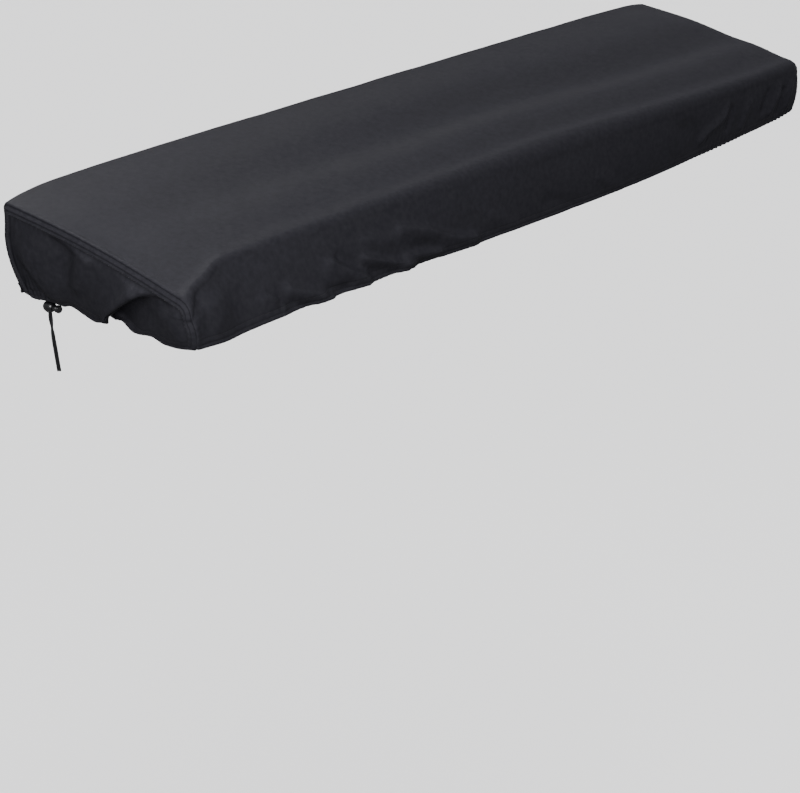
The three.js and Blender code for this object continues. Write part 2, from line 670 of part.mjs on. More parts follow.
const cover = new THREE.Group();
const cloth = new THREE.Group();
const lock = new THREE.Group();
cloth.add(piece('wrap_panel', wrapPanel(), clothMaterial()));
cloth.add(piece('end_panel_left', endPanel(-1, LEFT_HEM, LEFT_FOLDS), clothMaterial()));
cloth.add(piece('end_panel_right', endPanel(1, RIGHT_HEM, RIGHT_FOLDS), clothMaterial()));
lock.add(piece('cord_lock_body', lockBody(), lockMaterial()));
lock.add(piece('cord_lock_plunger', plunger(), lockMaterial()));
lock.add(piece('drawcord_end_a', cordEnd(-1), cordMaterial()));
lock.add(piece('drawcord_end_b', cordEnd(1), cordMaterial()));
lock.position.set(LOCK_CENTRE.x, LOCK_CENTRE.y, LOCK_CENTRE.z);
cover.add(cloth, lock);
cover.position.z = -undersideAtMiddle();

const whole = new THREE.Group();
whole.add(cover);

export default whole;
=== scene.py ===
# A fitted keyboard cover of cloth, in the shape that it has in use: a long wrap and two end panels of
# coated black cloth, with a drawcord in the hem and a cord lock at the left end. Shapes are worked out in
# the millimetres of the CAD's tables and become metres when they are placed.

import math

import bmesh
import bpy
import numpy as np
from mathutils import Matrix, Vector


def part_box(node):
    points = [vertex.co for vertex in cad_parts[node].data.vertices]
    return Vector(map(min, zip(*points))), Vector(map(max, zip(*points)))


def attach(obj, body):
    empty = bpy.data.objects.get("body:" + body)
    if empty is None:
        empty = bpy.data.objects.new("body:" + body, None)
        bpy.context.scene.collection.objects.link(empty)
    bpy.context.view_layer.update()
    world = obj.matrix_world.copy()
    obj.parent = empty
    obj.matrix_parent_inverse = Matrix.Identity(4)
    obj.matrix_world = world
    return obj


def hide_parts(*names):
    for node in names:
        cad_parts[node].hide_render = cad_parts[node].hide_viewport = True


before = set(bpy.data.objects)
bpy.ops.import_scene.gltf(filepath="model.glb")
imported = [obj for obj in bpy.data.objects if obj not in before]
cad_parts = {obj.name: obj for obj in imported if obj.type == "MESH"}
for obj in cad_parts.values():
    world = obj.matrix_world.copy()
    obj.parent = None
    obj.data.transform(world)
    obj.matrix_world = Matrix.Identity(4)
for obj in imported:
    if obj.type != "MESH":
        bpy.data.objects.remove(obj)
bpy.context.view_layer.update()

MM = 0.001

# The cord lock's middle in the CAD's tables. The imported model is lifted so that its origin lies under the
# top, and the plunger's box tells by how much.
LOCK = np.array([-640.0, 101.0, -122.7])
plunger_low, plunger_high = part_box("cord_lock_plunger")
LIFT = (plunger_low.z + plunger_high.z) / 2 / MM - LOCK[2]


def add_object(name, data):
    """An object of the scene that shows some data."""
    piece = bpy.data.objects.new(name, data)
    bpy.context.scene.collection.objects.link(piece)
    return piece


# Camera. It has a long lens and stands where the photograph was taken: in front of the left end and above
# the top.
camera_data = bpy.data.cameras.new("camera")
camera = add_object("camera", camera_data)
camera_data.sensor_width = 36.0
camera_data.lens = 81.81
camera_data.clip_start = 0.01
camera.matrix_world = Matrix(
    (
        (0.61977903, 0.31794554, -0.7174849, -1.8790525),
        (-0.78477637, 0.25109826, -0.56663543, -1.37328679),
        (0.0, 0.91425396, 0.40514159, 0.60366096 + LIFT * MM),
        (0.0, 0.0, 0.0, 1.0),
    )
)
bpy.context.scene.camera = camera


# Drawcord ends. Each is braided polyester cord of 2.3 mm, 95 mm long from the inner side of the hem to its
# cut, which is melted so that it can't fray. The two run side by side through the cord lock and hang down.

COVER = "cover"
CORD_DIAMETER = 2.3
CORD_TUCK = 0.1
STRANDS = 7
STRAND_RISE = 0.2
STRAND_TURN = 3.4
LOWER_STRAND = 0.55
CORD_AROUND = 44
CORD_ALONG = 520
CURVE_STEPS = 40
TIP_LENGTH = 1.6
TIP_SWELL = 0.12
TIP_AROUND = 28
TIP_RINGS = 14
WELD_DISTANCE = 0.002
# Lumps of a melted tip: how high, how many round it, and how they turn along it.
TIP_LUMPS = ((0.05, 3, 4), (0.03, 5, -3))
# A direction in which no cord runs.
SIDEWAYS = [0.0, 1.0, 0.15]

# The midline of both cords, counted from the lock's middle, with half of their distance apart.
CORD_ROUTE = np.array([
    (-3, 0, 15.5, 0, -4.4), (-1.9, 0, 13, 0.45, -3.5), (-0.8, 0, 10.6, 0.95, -1.9),
    (-0.1, 0, 8.4, 1.11, -0.34), (0, 0, 4, 1.16, 0), (0, 0, -4, 1.16, 0), (0, 0, -7.6, 1.16, 0),
    (0, 0, -11, 1.12, -0.3), (0.2, -0.1, -16, 0.67, -0.95), (0.3, -0.3, -21, -0.15, -1.15),
    (0.4, -0.5, -26, -0.85, -0.79), (0.6, -0.8, -32, -1.15, -0.18), (0.9, -1.2, -39, -1.12, 0.31),
    (1.3, -1.7, -47, -1.01, 0.58), (1.8, -2.3, -56, -0.89, 0.74), (2.3, -3, -66, -0.79, 0.85),
    (2.9, -3.8, -77.5, -0.72, 0.91),
])


def placed(points):
    """Points in the CAD's millimetres as points of the model: lifted, and times 0.001."""
    return (np.asarray(points, float) + [0.0, 0.0, LIFT]) * MM


def mix(start, end, share):
    """The start, and a share of the way from there to the end."""
    return start + (end - start) * share


def fade(distance, over=1.0):
    """A smooth step of the share s = distance / over: 0 up to 0, 3 s² - 2 s³ between, and 1 from 1."""
    share = np.clip(distance / over, 0.0, 1.0)
    return share * share * (3.0 - 2.0 * share)


def between(table, at):
    """A table's columns at some places, which its first column gives: cubic curves through its rows, whose
    slope at a row is that of the line between its two neighbours, as in the CAD."""
    places = table[:, 0]
    at = np.clip(at, places[0], places[-1])
    low = np.clip(np.searchsorted(places, at) - 1, 0, len(places) - 2)
    rows = np.arange(len(places))
    before, after = np.maximum(rows - 1, 0), np.minimum(rows + 1, len(places) - 1)
    span = places[low + 1] - places[low]
    share = (at - places[low]) / span
    columns = []
    for values in table.T[1:]:
        slopes = (values[after] - values[before]) / (places[after] - places[before])
        rise = values[low + 1] - values[low]
        start_pull = slopes[low] * span - rise
        end_pull = rise - slopes[low + 1] * span
        bent = (1 - share) * start_pull + share * end_pull
        columns.append(values[low] + share * rise + share * (1 - share) * bent)
    return columns


def arc_lengths(points):
    """The distance along a line of points, counted up from its first point."""
    steps = np.linalg.norm(np.diff(points, axis=0), axis=1)
    return np.concatenate([[0.0], np.cumsum(steps)])


def unit(vectors):
    """Vectors over their own lengths."""
    return vectors / np.linalg.norm(vectors, axis=-1, keepdims=True)


def points_along(line, place, at):
    """Points at the distances "at" along a line whose points lie at the distances "place"."""
    return np.stack([np.interp(at, place, line[:, axis]) for axis in range(line.shape[1])], axis=-1)


def smooth_line(points, count):
    """The smooth curve through some points, cut into evenly spaced ones."""
    place = arc_lengths(points)
    fine = np.linspace(0, place[-1], CURVE_STEPS * len(points))
    curve = np.column_stack(between(np.column_stack([place, points]), fine))
    length = arc_lengths(curve)
    return points_along(curve, length, np.linspace(0, length[-1], count))


def across_line(line):
    """Two directions across a line: tangent by a fixed direction, and tangent by that."""
    tangent = unit(np.gradient(line, axis=0))
    first = unit(np.cross(tangent, SIDEWAYS))
    return first, np.cross(tangent, first)


def grid_faces(columns, rows, rows_closed=False):
    """The four corners of each cell of a grid whose points are numbered row by row in each column."""
    last_row = rows if rows_closed else rows - 1
    column, row = np.meshgrid(np.arange(columns - 1) * rows, np.arange(last_row), indexing="ij")
    below = (row + 1) % rows
    corners = (column + row, column + rows + row, column + rows + below, column + below)
    return np.stack([corner.ravel() for corner in corners], axis=1)


def new_piece(name, points, faces, uv=None):
    """A smooth piece at the origin from points in millimetres, with a UV map, or else with its doubles
    merged and its faces turned outwards."""
    mesh = bpy.data.meshes.new(name)
    mesh.from_pydata(placed(points).reshape(-1, 3).tolist(), [], np.asarray(faces).tolist())
    if uv is None:
        build = bmesh.new()
        build.from_mesh(mesh)
        bmesh.ops.remove_doubles(build, verts=build.verts, dist=WELD_DISTANCE * MM)
        bmesh.ops.recalc_face_normals(build, faces=build.faces)
        build.to_mesh(mesh)
        build.free()
    else:
        layer = mesh.uv_layers.new(name="UVMap")
        corners = np.zeros(len(mesh.loops), np.int32)
        mesh.loops.foreach_get("vertex_index", corners)
        layer.data.foreach_set("uv", np.asarray(uv, np.float32)[corners].ravel())
    mesh.update()
    mesh.shade_smooth()
    return add_object(name, mesh)


def tube(name, points):
    """A piece from rings of points, each joined to the next."""
    return new_piece(name, points, grid_faces(*points.shape[:2], rows_closed=True))


def rings(line, radius, around, across):
    """Circles of points round a line: the line plus radius times a direction that turns from one of two
    directions across it to the other."""
    first, second = across
    turn = 2 * np.pi * np.arange(around)[:, None] / around
    ring = first[:, None] * np.cos(turn) + second[:, None] * np.sin(turn)
    return line[:, None] + radius[..., None] * ring


def braided_cord(name, route):
    """A tube whose radius follows two families of strands, one winding right and one left. Each strand is
    a half wave across, and a chequer of both windings says which one lies on top."""
    line = smooth_line(route, CORD_ALONG)
    place = arc_lengths(line)[:, None]
    share = (np.arange(CORD_AROUND) / CORD_AROUND)[None]
    right = STRANDS * share + place / STRAND_TURN
    left = STRANDS * share - place / STRAND_TURN
    right_on_top = (np.floor(right) + np.floor(left)) % 2 > 0
    right_rise = np.sqrt(np.abs(np.sin(np.pi * right)))
    left_rise = np.sqrt(np.abs(np.sin(np.pi * left)))
    upper = np.where(right_on_top, right_rise, left_rise)
    lower = np.where(right_on_top, left_rise, right_rise)
    radius = CORD_DIAMETER / 2 - CORD_TUCK + STRAND_RISE * np.maximum(upper, LOWER_STRAND * lower)
    radius[[0, -1]] = 0
    return tube(name, rings(line, radius, CORD_AROUND, across_line(line)))


def melted_tip(name, route):
    """The end of a cord as a drop: its radius follows half an ellipse, times slow waves round it."""
    share = np.linspace(0, 1, TIP_RINGS)[:, None]
    turn = 2 * np.pi * np.arange(TIP_AROUND)[None] / TIP_AROUND
    swell = np.sqrt(np.maximum(0, 1 - (2 * share - 1) ** 2))
    lumps = 1
    for height, count, twist in TIP_LUMPS:
        lumps = lumps + height * np.sin(count * turn + twist * share)
    radius = (CORD_DIAMETER / 2 + TIP_SWELL) * swell * lumps
    line = route[-1] + unit(route[-1] - route[-2]) * TIP_LENGTH * (share - 0.5)
    return tube(name, rings(line, radius, TIP_AROUND, across_line(line)))


def add_node(tree, kind, links=(), **values):
    """A node with its settings, its inputs' values and its links, given as (socket, source)."""
    node = tree.nodes.new(kind)
    for name, value in values.items():
        if hasattr(node, name):
            setattr(node, name, value)
        else:
            node.inputs[name.replace("_", " ")].default_value = value
    for socket, source in links:
        tree.links.new(source, node.inputs[socket])
    return node


def relief_group(name, place, size):
    """An empty node group for relief. It takes a place, a size, a depth in metres and the normal below, and
    gives a mask and the normal on top."""
    group = bpy.data.node_groups.new(name, "ShaderNodeTree")
    sockets = [(place, "INPUT", "Vector"), (size, "INPUT", "Float"), ("Depth", "INPUT", "Float")]
    sockets += [("Normal", "INPUT", "Vector"), ("Mask", "OUTPUT", "Float"), ("Normal", "OUTPUT", "Vector")]
    for label, way, kind in sockets:
        group.interface.new_socket(name=label, in_out=way, socket_type="NodeSocket" + kind)
    return group, group.nodes.new("NodeGroupInput"), group.nodes.new("NodeGroupOutput")


def end_group(group, source, target, mask):
    """Gives out a group's mask, and a bump of that mask over the normal underneath."""
    links = [("Height", mask), ("Distance", source.outputs["Depth"]), ("Normal", source.outputs["Normal"])]
    bump = add_node(group, "ShaderNodeBump", links, Strength=0.7)
    group.links.new(mask, target.inputs["Mask"])
    group.links.new(bump.outputs["Normal"], target.inputs["Normal"])
    return group


def fibre_group():
    """Fine fibres: noise of a given scale."""
    group, source, target = relief_group("fibres", "Place", "Scale")
    links = [("Vector", source.outputs["Place"]), ("Scale", source.outputs["Scale"])]
    noise = add_node(group, "ShaderNodeTexNoise", links, Detail=3.0)
    return end_group(group, source, target, noise.outputs["Fac"])


def lay_relief(tree, group, place, under=None, **values):
    """A relief group in a material, at a place and over the relief underneath."""
    links = [(0, place)] + ([("Normal", under.outputs["Normal"])] if under else [])
    return add_node(tree, "ShaderNodeGroup", links, node_tree=group, **values)


def new_material(name, **constants):
    """A material with a Principled shader whose constant sockets are set directly."""
    material = bpy.data.materials.new(name)
    material.use_nodes = True
    tree = material.node_tree
    tree.nodes.clear()
    shader = add_node(tree, "ShaderNodeBsdfPrincipled", **constants)
    add_node(tree, "ShaderNodeOutputMaterial", [("Surface", shader.outputs["BSDF"])])
    return material, tree, shader


def colour_between(tree, mask, dark, light, low=0.3, high=0.7):
    """A colour that goes from dark to light as a mask rises from low to high."""
    ramp = add_node(tree, "ShaderNodeValToRGB", [("Fac", mask)])
    for element, position, colour in zip(ramp.color_ramp.elements, (low, high), (dark, light)):
        element.position = position
        element.color = (*colour, 1.0)
    return ramp.outputs["Color"]


def shade(tree, shader, mask, dark, light, roughness, normal):
    """Colour and roughness that follow a mask, and the normal of the finest relief."""
    low, high = roughness
    rough = add_node(tree, "ShaderNodeMapRange", [("Value", mask)], To_Min=low, To_Max=high)
    tree.links.new(colour_between(tree, mask, dark, light), shader.inputs["Base Color"])
    tree.links.new(rough.outputs["Result"], shader.inputs["Roughness"])
    tree.links.new(normal, shader.inputs["Normal"])


def object_place(tree):
    """Places on a piece in its own metres."""
    return tree.nodes.new("ShaderNodeTexCoord").outputs["Object"]


fibres = fibre_group()


def yarn_material(name, dark, light, scale, roughness):
    """Spun or braided yarn: fibres give its colour, roughness and bump."""
    material, tree, shader = new_material(name, Specular_IOR_Level=0.25)
    fine = lay_relief(tree, fibres, object_place(tree), Scale=scale, Depth=0.00008)
    shade(tree, shader, fine.outputs["Mask"], dark, light, roughness, fine.outputs["Normal"])
    return material


def plastic_material(name, dark, light, roughness, grain):
    """Moulded plastic: slow noise for handling, and a fine moulded grain."""
    material, tree, shader = new_material(name, Specular_IOR_Level=0.5)
    worn = lay_relief(tree, fibres, object_place(tree), Scale=320.0, Depth=0.00002)
    fine = lay_relief(tree, fibres, object_place(tree), worn, Scale=grain, Depth=0.00002)
    shade(tree, shader, worn.outputs["Mask"], dark, light, roughness, fine.outputs["Normal"])
    return material


def finish(piece, material, body=COVER):
    """Gives a piece its material and lets it ride on a body."""
    piece.data.materials.clear()
    piece.data.materials.append(material)
    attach(piece, body)


BRAID_COLOURS = ((0.004, 0.004, 0.005), (0.011, 0.011, 0.013))
TIP_COLOURS = ((0.006, 0.006, 0.007), (0.012, 0.012, 0.014))
braid_finish = yarn_material("braided_polyester", *BRAID_COLOURS, 2600.0, (0.5, 0.7))
melted_finish = plastic_material("melted_polyester", *TIP_COLOURS, (0.25, 0.4), 900.0)
routes = {}
cords = {}
tips = {}
for letter, side in (("a", -1), ("b", 1)):
    apart = np.column_stack([CORD_ROUTE[:, 3], CORD_ROUTE[:, 4], np.zeros(len(CORD_ROUTE))])
    routes[letter] = LOCK + CORD_ROUTE[:, :3] + side * apart
    cords[letter] = braided_cord("cord_braid_" + letter, routes[letter])
    tips[letter] = melted_tip("cord_tip_" + letter, routes[letter])
    finish(cords[letter], braid_finish)
    finish(tips[letter], melted_finish)
    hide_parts("drawcord_end_" + letter)


# Cord lock. Two mouldings of glossy black plastic: an egg-shaped body with a slot for the cords, and a
# plunger with a round head that a spring pushes out, so that its window grips the cords in the slot.

PLUNGER = "plunger"
LOCK_HALF_LENGTH = 8.2
LOCK_RADIUS = 6.8
BORE_END = 6.0
BARREL_RADIUS = 3.7
BARREL_END = 2.7
BARREL_GAP = 0.3
HEAD_RADIUS = 4.4
HEAD_START = -12.2
HEAD_TIP = -16.8
TRAVEL = 3.0
SLOT_HALF_LENGTH = 2.8
SLOT_HALF_WIDTH = 1.5
SLOT_ARC_POINTS = 9
SLOT_FLAT = 0.01
CUTTER_HALF_HEIGHT = 12.0
PARTING_RIDGE = 0.14
PARTING_WIDTH = 0.35
EGG_POINTS = 41
TURNED_STEPS = 64
ROUNDED_ANGLE = 38
SHARP_ANGLE = 40
# The plunger's head in section: its dished tip as radius and distance from the tip, where its grooves are,
# and a groove as depth and place.
HEAD_DISH = [(0, 0.35), (1.6, 0.3), (2.2, 0), (3.4, 0), (4.05, 0.3), (HEAD_RADIUS, 1)]
HEAD_GROOVES = (1.7, 2.5, 3.3)
GROOVE_SECTION = ((0, -0.25), (0.25, 0), (0, 0.25))


def bell(distance, over):
    """A bell curve: exp(-(distance / over)²)."""
    return np.exp(-((distance / over) ** 2))


def turned_piece(name, profile):
    """A profile of radius and y, turned about the lock's long axis."""
    profile = np.array(profile, float)
    line = LOCK + profile[:, 1:2] * [0, 1, 0]
    across = np.array([[[1, 0, 0]], [[0, 0, 1]]])
    return tube(name, rings(line, profile[:, :1], TURNED_STEPS, across))


def cut_slot(piece, from_y, rounding):
    """Cuts a tall prism with a rounded rectangle as its section out of a piece, rounds the sharp edges and
    keeps the finished mesh alone."""
    reach = SLOT_HALF_WIDTH - SLOT_FLAT
    turn = np.radians([-90, 0, 90, 180])[:, None] + np.radians(np.linspace(0, 90, SLOT_ARC_POINTS))
    centre_x = np.array([1, 1, -1, -1])[:, None] * (SLOT_HALF_LENGTH - reach)
    centre_y = np.array([from_y + reach, SLOT_FLAT, SLOT_FLAT, from_y + reach])[:, None]
    x = (centre_x + reach * np.cos(turn)).ravel()
    y = (centre_y + reach * np.sin(turn)).ravel()
    heights = (-CUTTER_HALF_HEIGHT, CUTTER_HALF_HEIGHT)
    ends = [np.column_stack([x, y, np.full(len(x), height)]) for height in heights]
    step = np.arange(len(x))
    ahead = np.roll(step, -1)
    sides = np.column_stack([step, ahead, ahead + len(x), step + len(x)])
    caps = [step[::-1].tolist(), (step + len(x)).tolist()]
    mesh = bpy.data.meshes.new("slot_cutter")
    mesh.from_pydata(placed(np.concatenate(ends) + LOCK).tolist(), [], caps + sides.tolist())
    cutter = add_object("slot_cutter", mesh)
    cut = piece.modifiers.new("cut", "BOOLEAN")
    cut.operation = "DIFFERENCE"
    cut.solver = "EXACT"
    cut.object = cutter
    soften = piece.modifiers.new("soften", "BEVEL")
    soften.width = rounding * MM
    soften.segments = 2
    soften.limit_method = "ANGLE"
    soften.angle_limit = math.radians(ROUNDED_ANGLE)
    done = bpy.data.meshes.new_from_object(piece.evaluated_get(bpy.context.evaluated_depsgraph_get()))
    piece.modifiers.clear()
    piece.data = done
    done.shade_smooth()
    done.set_sharp_from_angle(angle=math.radians(SHARP_ANGLE))
    bpy.data.objects.remove(cutter)


bore = BARREL_RADIUS + BARREL_GAP
angles = np.linspace(-math.acos(bore / LOCK_RADIUS), math.pi / 2, EGG_POINTS)
egg_y = LOCK_HALF_LENGTH * np.sin(angles)
egg_radius = LOCK_RADIUS * np.cos(angles) + PARTING_RIDGE * bell(egg_y, PARTING_WIDTH)
egg_radius[-1] = 0
lock_shell = turned_piece("lock_shell", [(0, BORE_END), (bore, BORE_END), *zip(egg_radius, egg_y)])
cut_slot(lock_shell, -SLOT_HALF_WIDTH, rounding=0.3)

head = [(radius, HEAD_TIP + place) for radius, place in HEAD_DISH]
for groove in HEAD_GROOVES:
    head += [(HEAD_RADIUS - deep, HEAD_TIP + groove + place) for deep, place in GROOVE_SECTION]
head += [(HEAD_RADIUS, HEAD_START - 0.6), (HEAD_RADIUS - 0.5, HEAD_START), (BARREL_RADIUS, HEAD_START)]
lock_button = turned_piece("lock_button", [*head, (BARREL_RADIUS, BARREL_END), (0, BARREL_END)])
cut_slot(lock_button, -SLOT_HALF_WIDTH - TRAVEL, rounding=0.15)

LOCK_COLOURS = ((0.006, 0.006, 0.007), (0.01, 0.01, 0.012))
lock_finish = plastic_material("glossy_plastic", *LOCK_COLOURS, (0.2, 0.3), 2400.0)
finish(lock_shell, lock_finish)
finish(lock_button, lock_finish, PLUNGER)
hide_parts("cord_lock_body")
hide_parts("cord_lock_plunger")


# Wrap. One length of coated plain-weave polyester that forms the back skirt, the top and the front skirt.
# It sags a little between the edges that hold it up, and ends below in a doubled hem with the drawcord
# inside. Its two ends are turned in at the end seams.

HALF_LENGTH = 660.0
DEPTH = 292.0
TOP_FALL = 56.0
SKIRT_BELLY = 3.5
END_ROLL = 1.5
END_ROLL_REACH = 14.0
DRAWN_IN_REACH = 62.0
PULL_REACH = 70.0
REAR_CORNER_DRAWN = 8.0
FRONT_CORNER_DRAWN = 4.0
CASING_ROWS = 14
NO_HEM = 999.0
WRAP_ROWS = {"rear": 26, "rear_bend": 9, "top": 56, "front_bend": 12, "front": 50}
WEAVE_PITCH = 0.00055
# Where the wrap's end turns in, this share of the hem's section is flattened, over this depth of the turn.
HEM_IN_SEAM = 0.6
TURN_DEPTH = 2
# A skirt's folds fade out over this share of its height, below its bend.
FOLD_FADE = 1 / 3
# The waves of the top drift along its slope by this share of it.
WAVE_DRIFT = 0.045
WAVE_DRIFT_REACH = 450
SEAM_PUCKERS = 7.5
SEAM_PUCKER_HEIGHT = 0.16
HEM_PUCKERS = 11
HEM_PUCKER_HEIGHT = 0.18
HEM_PUCKER_SPREAD = 0.08
WRAP_UNEVENNESS = 0.35
# x, and how far apart the grid's stations are there: close where the front skirt is wrinkled.
STATION_STEPS = np.array([
    (-660, 5), (-545, 5), (-520, 2.5), (-140, 2.5), (-110, 5), (350, 5), (375, 3), (660, 3),
])

# x, the rear edge's y, softness and lift, the front bend's y and softness, and the top's sag and crown.
EDGES = np.array([
    (-660, 144, 16, -0.5, -143, 21, 0, 5.5),
    (-650, 145, 14, -0.5, -134, 11, 0.05, 3.8),
    (-635, 146.5, 11, 0, -121, 6.5, 0.1, 2.6),
    (-605, 148, 7, 1.2, -110, 6, 0.15, 2),
    (-570, 148.5, 5, 2, -95, 5.5, 0.2, 1.6),
    (-510, 149, 4.5, 2.8, -92, 7, 0.3, 1.2),
    (-350, 149, 4.5, 3.5, -98, 11, 0.5, 0.8),
    (-150, 149, 4.5, 3, -107, 15, 0.8, 0),
    (50, 149, 4.5, 2.5, -115, 20, 1, 0),
    (250, 148.5, 5, 2, -130, 18, 1.1, 0),
    (450, 148, 6, 1.5, -142, 15, 1.2, 1),
    (610, 147, 9, 1, -147, 14, 1, 2.5),
    (660, 144, 15, 0.5, -148, 18, 0.4, 3.5),
])
# x, then y and z of the rear hem and of the front hem.
HEMS = np.array([
    (-660, 130, -109, -143, -109),
    (-635, 133, -113, -140, -111),
    (-605, 134, -117, -134, -115),
    (-570, 134, -120, -130, -118.5),
    (-510, 133, -123, -125, -122.5),
    (-350, 133, -127, -122, -129.5),
    (-150, 134, -130, -123, -137),
    (50, 134, -131, -125, -144.5),
    (250, 134, -131, -131, -146.5),
    (450, 133, -130, -137, -142.5),
    (610, 133, -126, -142, -137),
    (660, 132, -122, -145, -131.5),
])
TOP_WAVES = np.array([(0, 0), (0.3, 3.0), (0.56, -3.0), (0.72, 1.6), (0.8, 1.5), (0.93, -1.2), (1, 0)])

# Folds: how far out, how wide to either side of the path, and the path as (x, z).
FRONT_FOLDS = [
    (4.6, 26, 38, [(-598, -80), (-606, -116)]),
    (4.5, 20, 20, [(-630, -62), (-620, -86)]),
    (3.8, 4.5, 12, [(-522, -94), (-498, -111)]),
    (5.8, 4.5, 12, [(-482, -97), (-463, -107), (-438, -116), (-420, -122)]),
    (-4, 8, 12, [(-500, -108), (-472, -120), (-458, -124)]),
    (-4, 7, 8, [(-421, -119), (-392, -122)]),
    (6.4, 5, 13, [(-409, -88), (-392, -100), (-354, -121)]),
    (-3.2, 8, 5, [(-394, -88), (-358, -106)]),
    (3.3, 8, 11, [(-345, -80), (-310, -89)]),
    (6, 4.5, 12, [(-352, -98), (-329, -107), (-298, -118), (-269, -127)]),
    (-4.2, 8, 12, [(-344, -114), (-303, -127)]),
    (5.2, 4.5, 11, [(-279, -115), (-257, -117), (-235, -122), (-221, -125)]),
    (-4.5, 5, 9, [(-270, -128), (-221, -133)]),
    (7.2, 5, 16, [(-282, -80), (-236, -94), (-211, -106), (-185, -117), (-149, -124)]),
    (-2, 10, 10, [(-258, -108), (-225, -114)]),
    (1.9, 10, 10, [(-112, -110), (-62, -130)]),
    (-1.9, 9, 9, [(10, -118), (76, -138)]),
    (1.9, 9, 9, [(128, -116), (182, -140)]),
    (-3, 22, 18, [(336, -84), (364, -116)]),
    (4.2, 6, 8, [(450, -78), (440, -95), (426, -102), (393, -111), (384, -120)]),
    (-3.4, 6, 7, [(463, -88), (454, -116)]),
    (2.6, 8, 8, [(512, -90), (494, -124)]),
    (-3.6, 7, 8, [(568, -82), (556, -110)]),
    (4.2, 6, 8, [(602, -76), (597, -92), (584, -108), (576, -118)]),
    (-3.2, 6, 7, [(615, -90), (606, -122)]),
    (3, 7, 7, [(636, -84), (628, -116)]),
]
REAR_FOLDS = [
    (4, 24, 24, [(-668, -46), (-652, -74)]),
    (-3.5, 18, 18, [(-560, -70), (-590, -118)]),
    (3, 22, 22, [(-470, -84), (-430, -124)]),
    (-3, 20, 20, [(-250, -90), (-180, -128)]),
    (3, 22, 22, [(40, -94), (110, -130)]),
    (-3, 20, 20, [(330, -90), (280, -130)]),
    (3.5, 18, 18, [(560, -74), (590, -124)]),
]
# Where the front hem is gathered: x, how wide, and by how much.
FRONT_GATHERS = [(-470, 30, 0.3), (-300, 60, 0.3), (450, 62, 0.9), (618, 32, 0.9)]
# Creases that only the cloth shows: the ridge along the front bend at the left, as (x, y).
TOP_CREASES = [(1.1, 9, 4, [(-560, -86), (-592, -98), (-621, -110), (-640, -118), (-655, -126)])]

# The doubled hem in section, as height above the hem and depth below the outer skin: up to its turned edge
# inside, and outside over the cord and the two rows of stitches.
CASING_INSIDE = [
    (11.4, 0.5), (12, 0.7), (12.2, 1.0), (11.8, 1.35), (10.8, 1.25), (9, 1.1), (7, 1.0), (5.6, 1.1),
    (4.8, 1.5), (4.1, 2.1), (3.4, 2.6), (2.6, 2.9), (1.8, 2.9), (1.1, 2.65), (0.5, 2.2), (0.1, 1.55),
]
CASING_OUTSIDE = [
    (0.1, 0.9), (0.5, 0.3), (1.1, -0.1), (1.8, -0.3), (2.6, -0.3), (3.4, -0.1), (4.1, 0.25), (4.8, 0.5),
    (5.4, 0.4), (6.2, 0.15), (7.4, 0.0), (9, 0.05), (10.6, 0.2), (11.4, 0.35), (12.2, 0.2),
    (13.2, 0.02),
]
CHANNEL_STITCH = 7
EDGE_STITCH = 13

# Stations near an end: first distance from it, last distance and step.
END_STATIONS = ((8.6, 30, 1.7), (30.5, 110, 2.6))
FINE_STATIONS = 4001
# An end of the wrap in section, as distance from the end and depth below the outer skin: the allowance
# inside, the turn at the seam, and the ridge that the allowance raises.
END_TURN = [
    (2.3, 9.0), (2.2, 6.5), (2.0, 4.4), (1.5, 3.3), (0.7, 2.7), (0.15, 1.9), (0.0, 1.1), (0.2, 0.45),
    (0.7, 0.08), (1.3, -0.15), (2.1, -0.3), (3.2, -0.35), (4.4, -0.3), (5.4, -0.1), (6.2, 0.0),
    (7.2, 0.0),
]


def soft_noise(across, along, cell, seed):
    """Random values from -1 to 1 at the corners of square cells, blended smoothly in between."""
    table = np.random.default_rng(seed).uniform(-1, 1, (64, 64))
    a, b = np.broadcast_arrays(np.asarray(across) / cell, np.asarray(along) / cell)
    column, row = np.floor(a).astype(int), np.floor(b).astype(int)
    a_share, b_share = fade(a - column), fade(b - row)
    left, right = column % 64, (column + 1) % 64
    first, second = (mix(table[left, at % 64], table[right, at % 64], a_share) for at in (row, row + 1))
    return mix(first, second, b_share)


def to_path(path, along, height):
    """The distance from each place to a path, and on which side of it the place lies, from -1 to 1."""
    nearest = np.full(np.broadcast(along, height).shape, np.inf)
    side = np.zeros(nearest.shape)
    for (from_a, from_h), (to_a, to_h) in zip(path[:-1], path[1:]):
        run_a, run_h = to_a - from_a, to_h - from_h
        run = math.hypot(run_a, run_h)
        share = np.clip(((along - from_a) * run_a + (height - from_h) * run_h) / run**2, 0, 1)
        away = np.hypot(along - from_a - share * run_a, height - from_h - share * run_h)
        turned = (run_a * (height - from_h) - run_h * (along - from_a)) / (run * np.maximum(away, 1e-6))
        side = np.where(away < nearest, turned, side)
        nearest = np.minimum(nearest, away)
    return nearest, side


def decay(distance, over):
    """A fall from 1 towards 0: exp(-distance / over)."""
    return np.exp(-distance / over)


def uneven_waves(place, spacing, noise, drift):
    """Sine waves along a seam, whose phase a noise shifts by up to the drift."""
    return np.sin(2 * np.pi * place / spacing + drift * noise)


def fold_relief(folds, along, height):
    """The sum of folds at each place. A fold is its height times exp(-(d / w)²), where d is the distance
    from its path and w its width on that side."""
    total = np.zeros(np.broadcast(along, height).shape)
    for out, plus_width, minus_width, path in folds:
        away, side = to_path(path, along, height)
        total = total + out * bell(away, mix(minus_width, plus_width, (1 + side) / 2))
    return total


def top_plane(y):
    """The plane under the top: 0 at the rear, and falling evenly by TOP_FALL to the front."""
    return -TOP_FALL * (DEPTH / 2 - y) / DEPTH


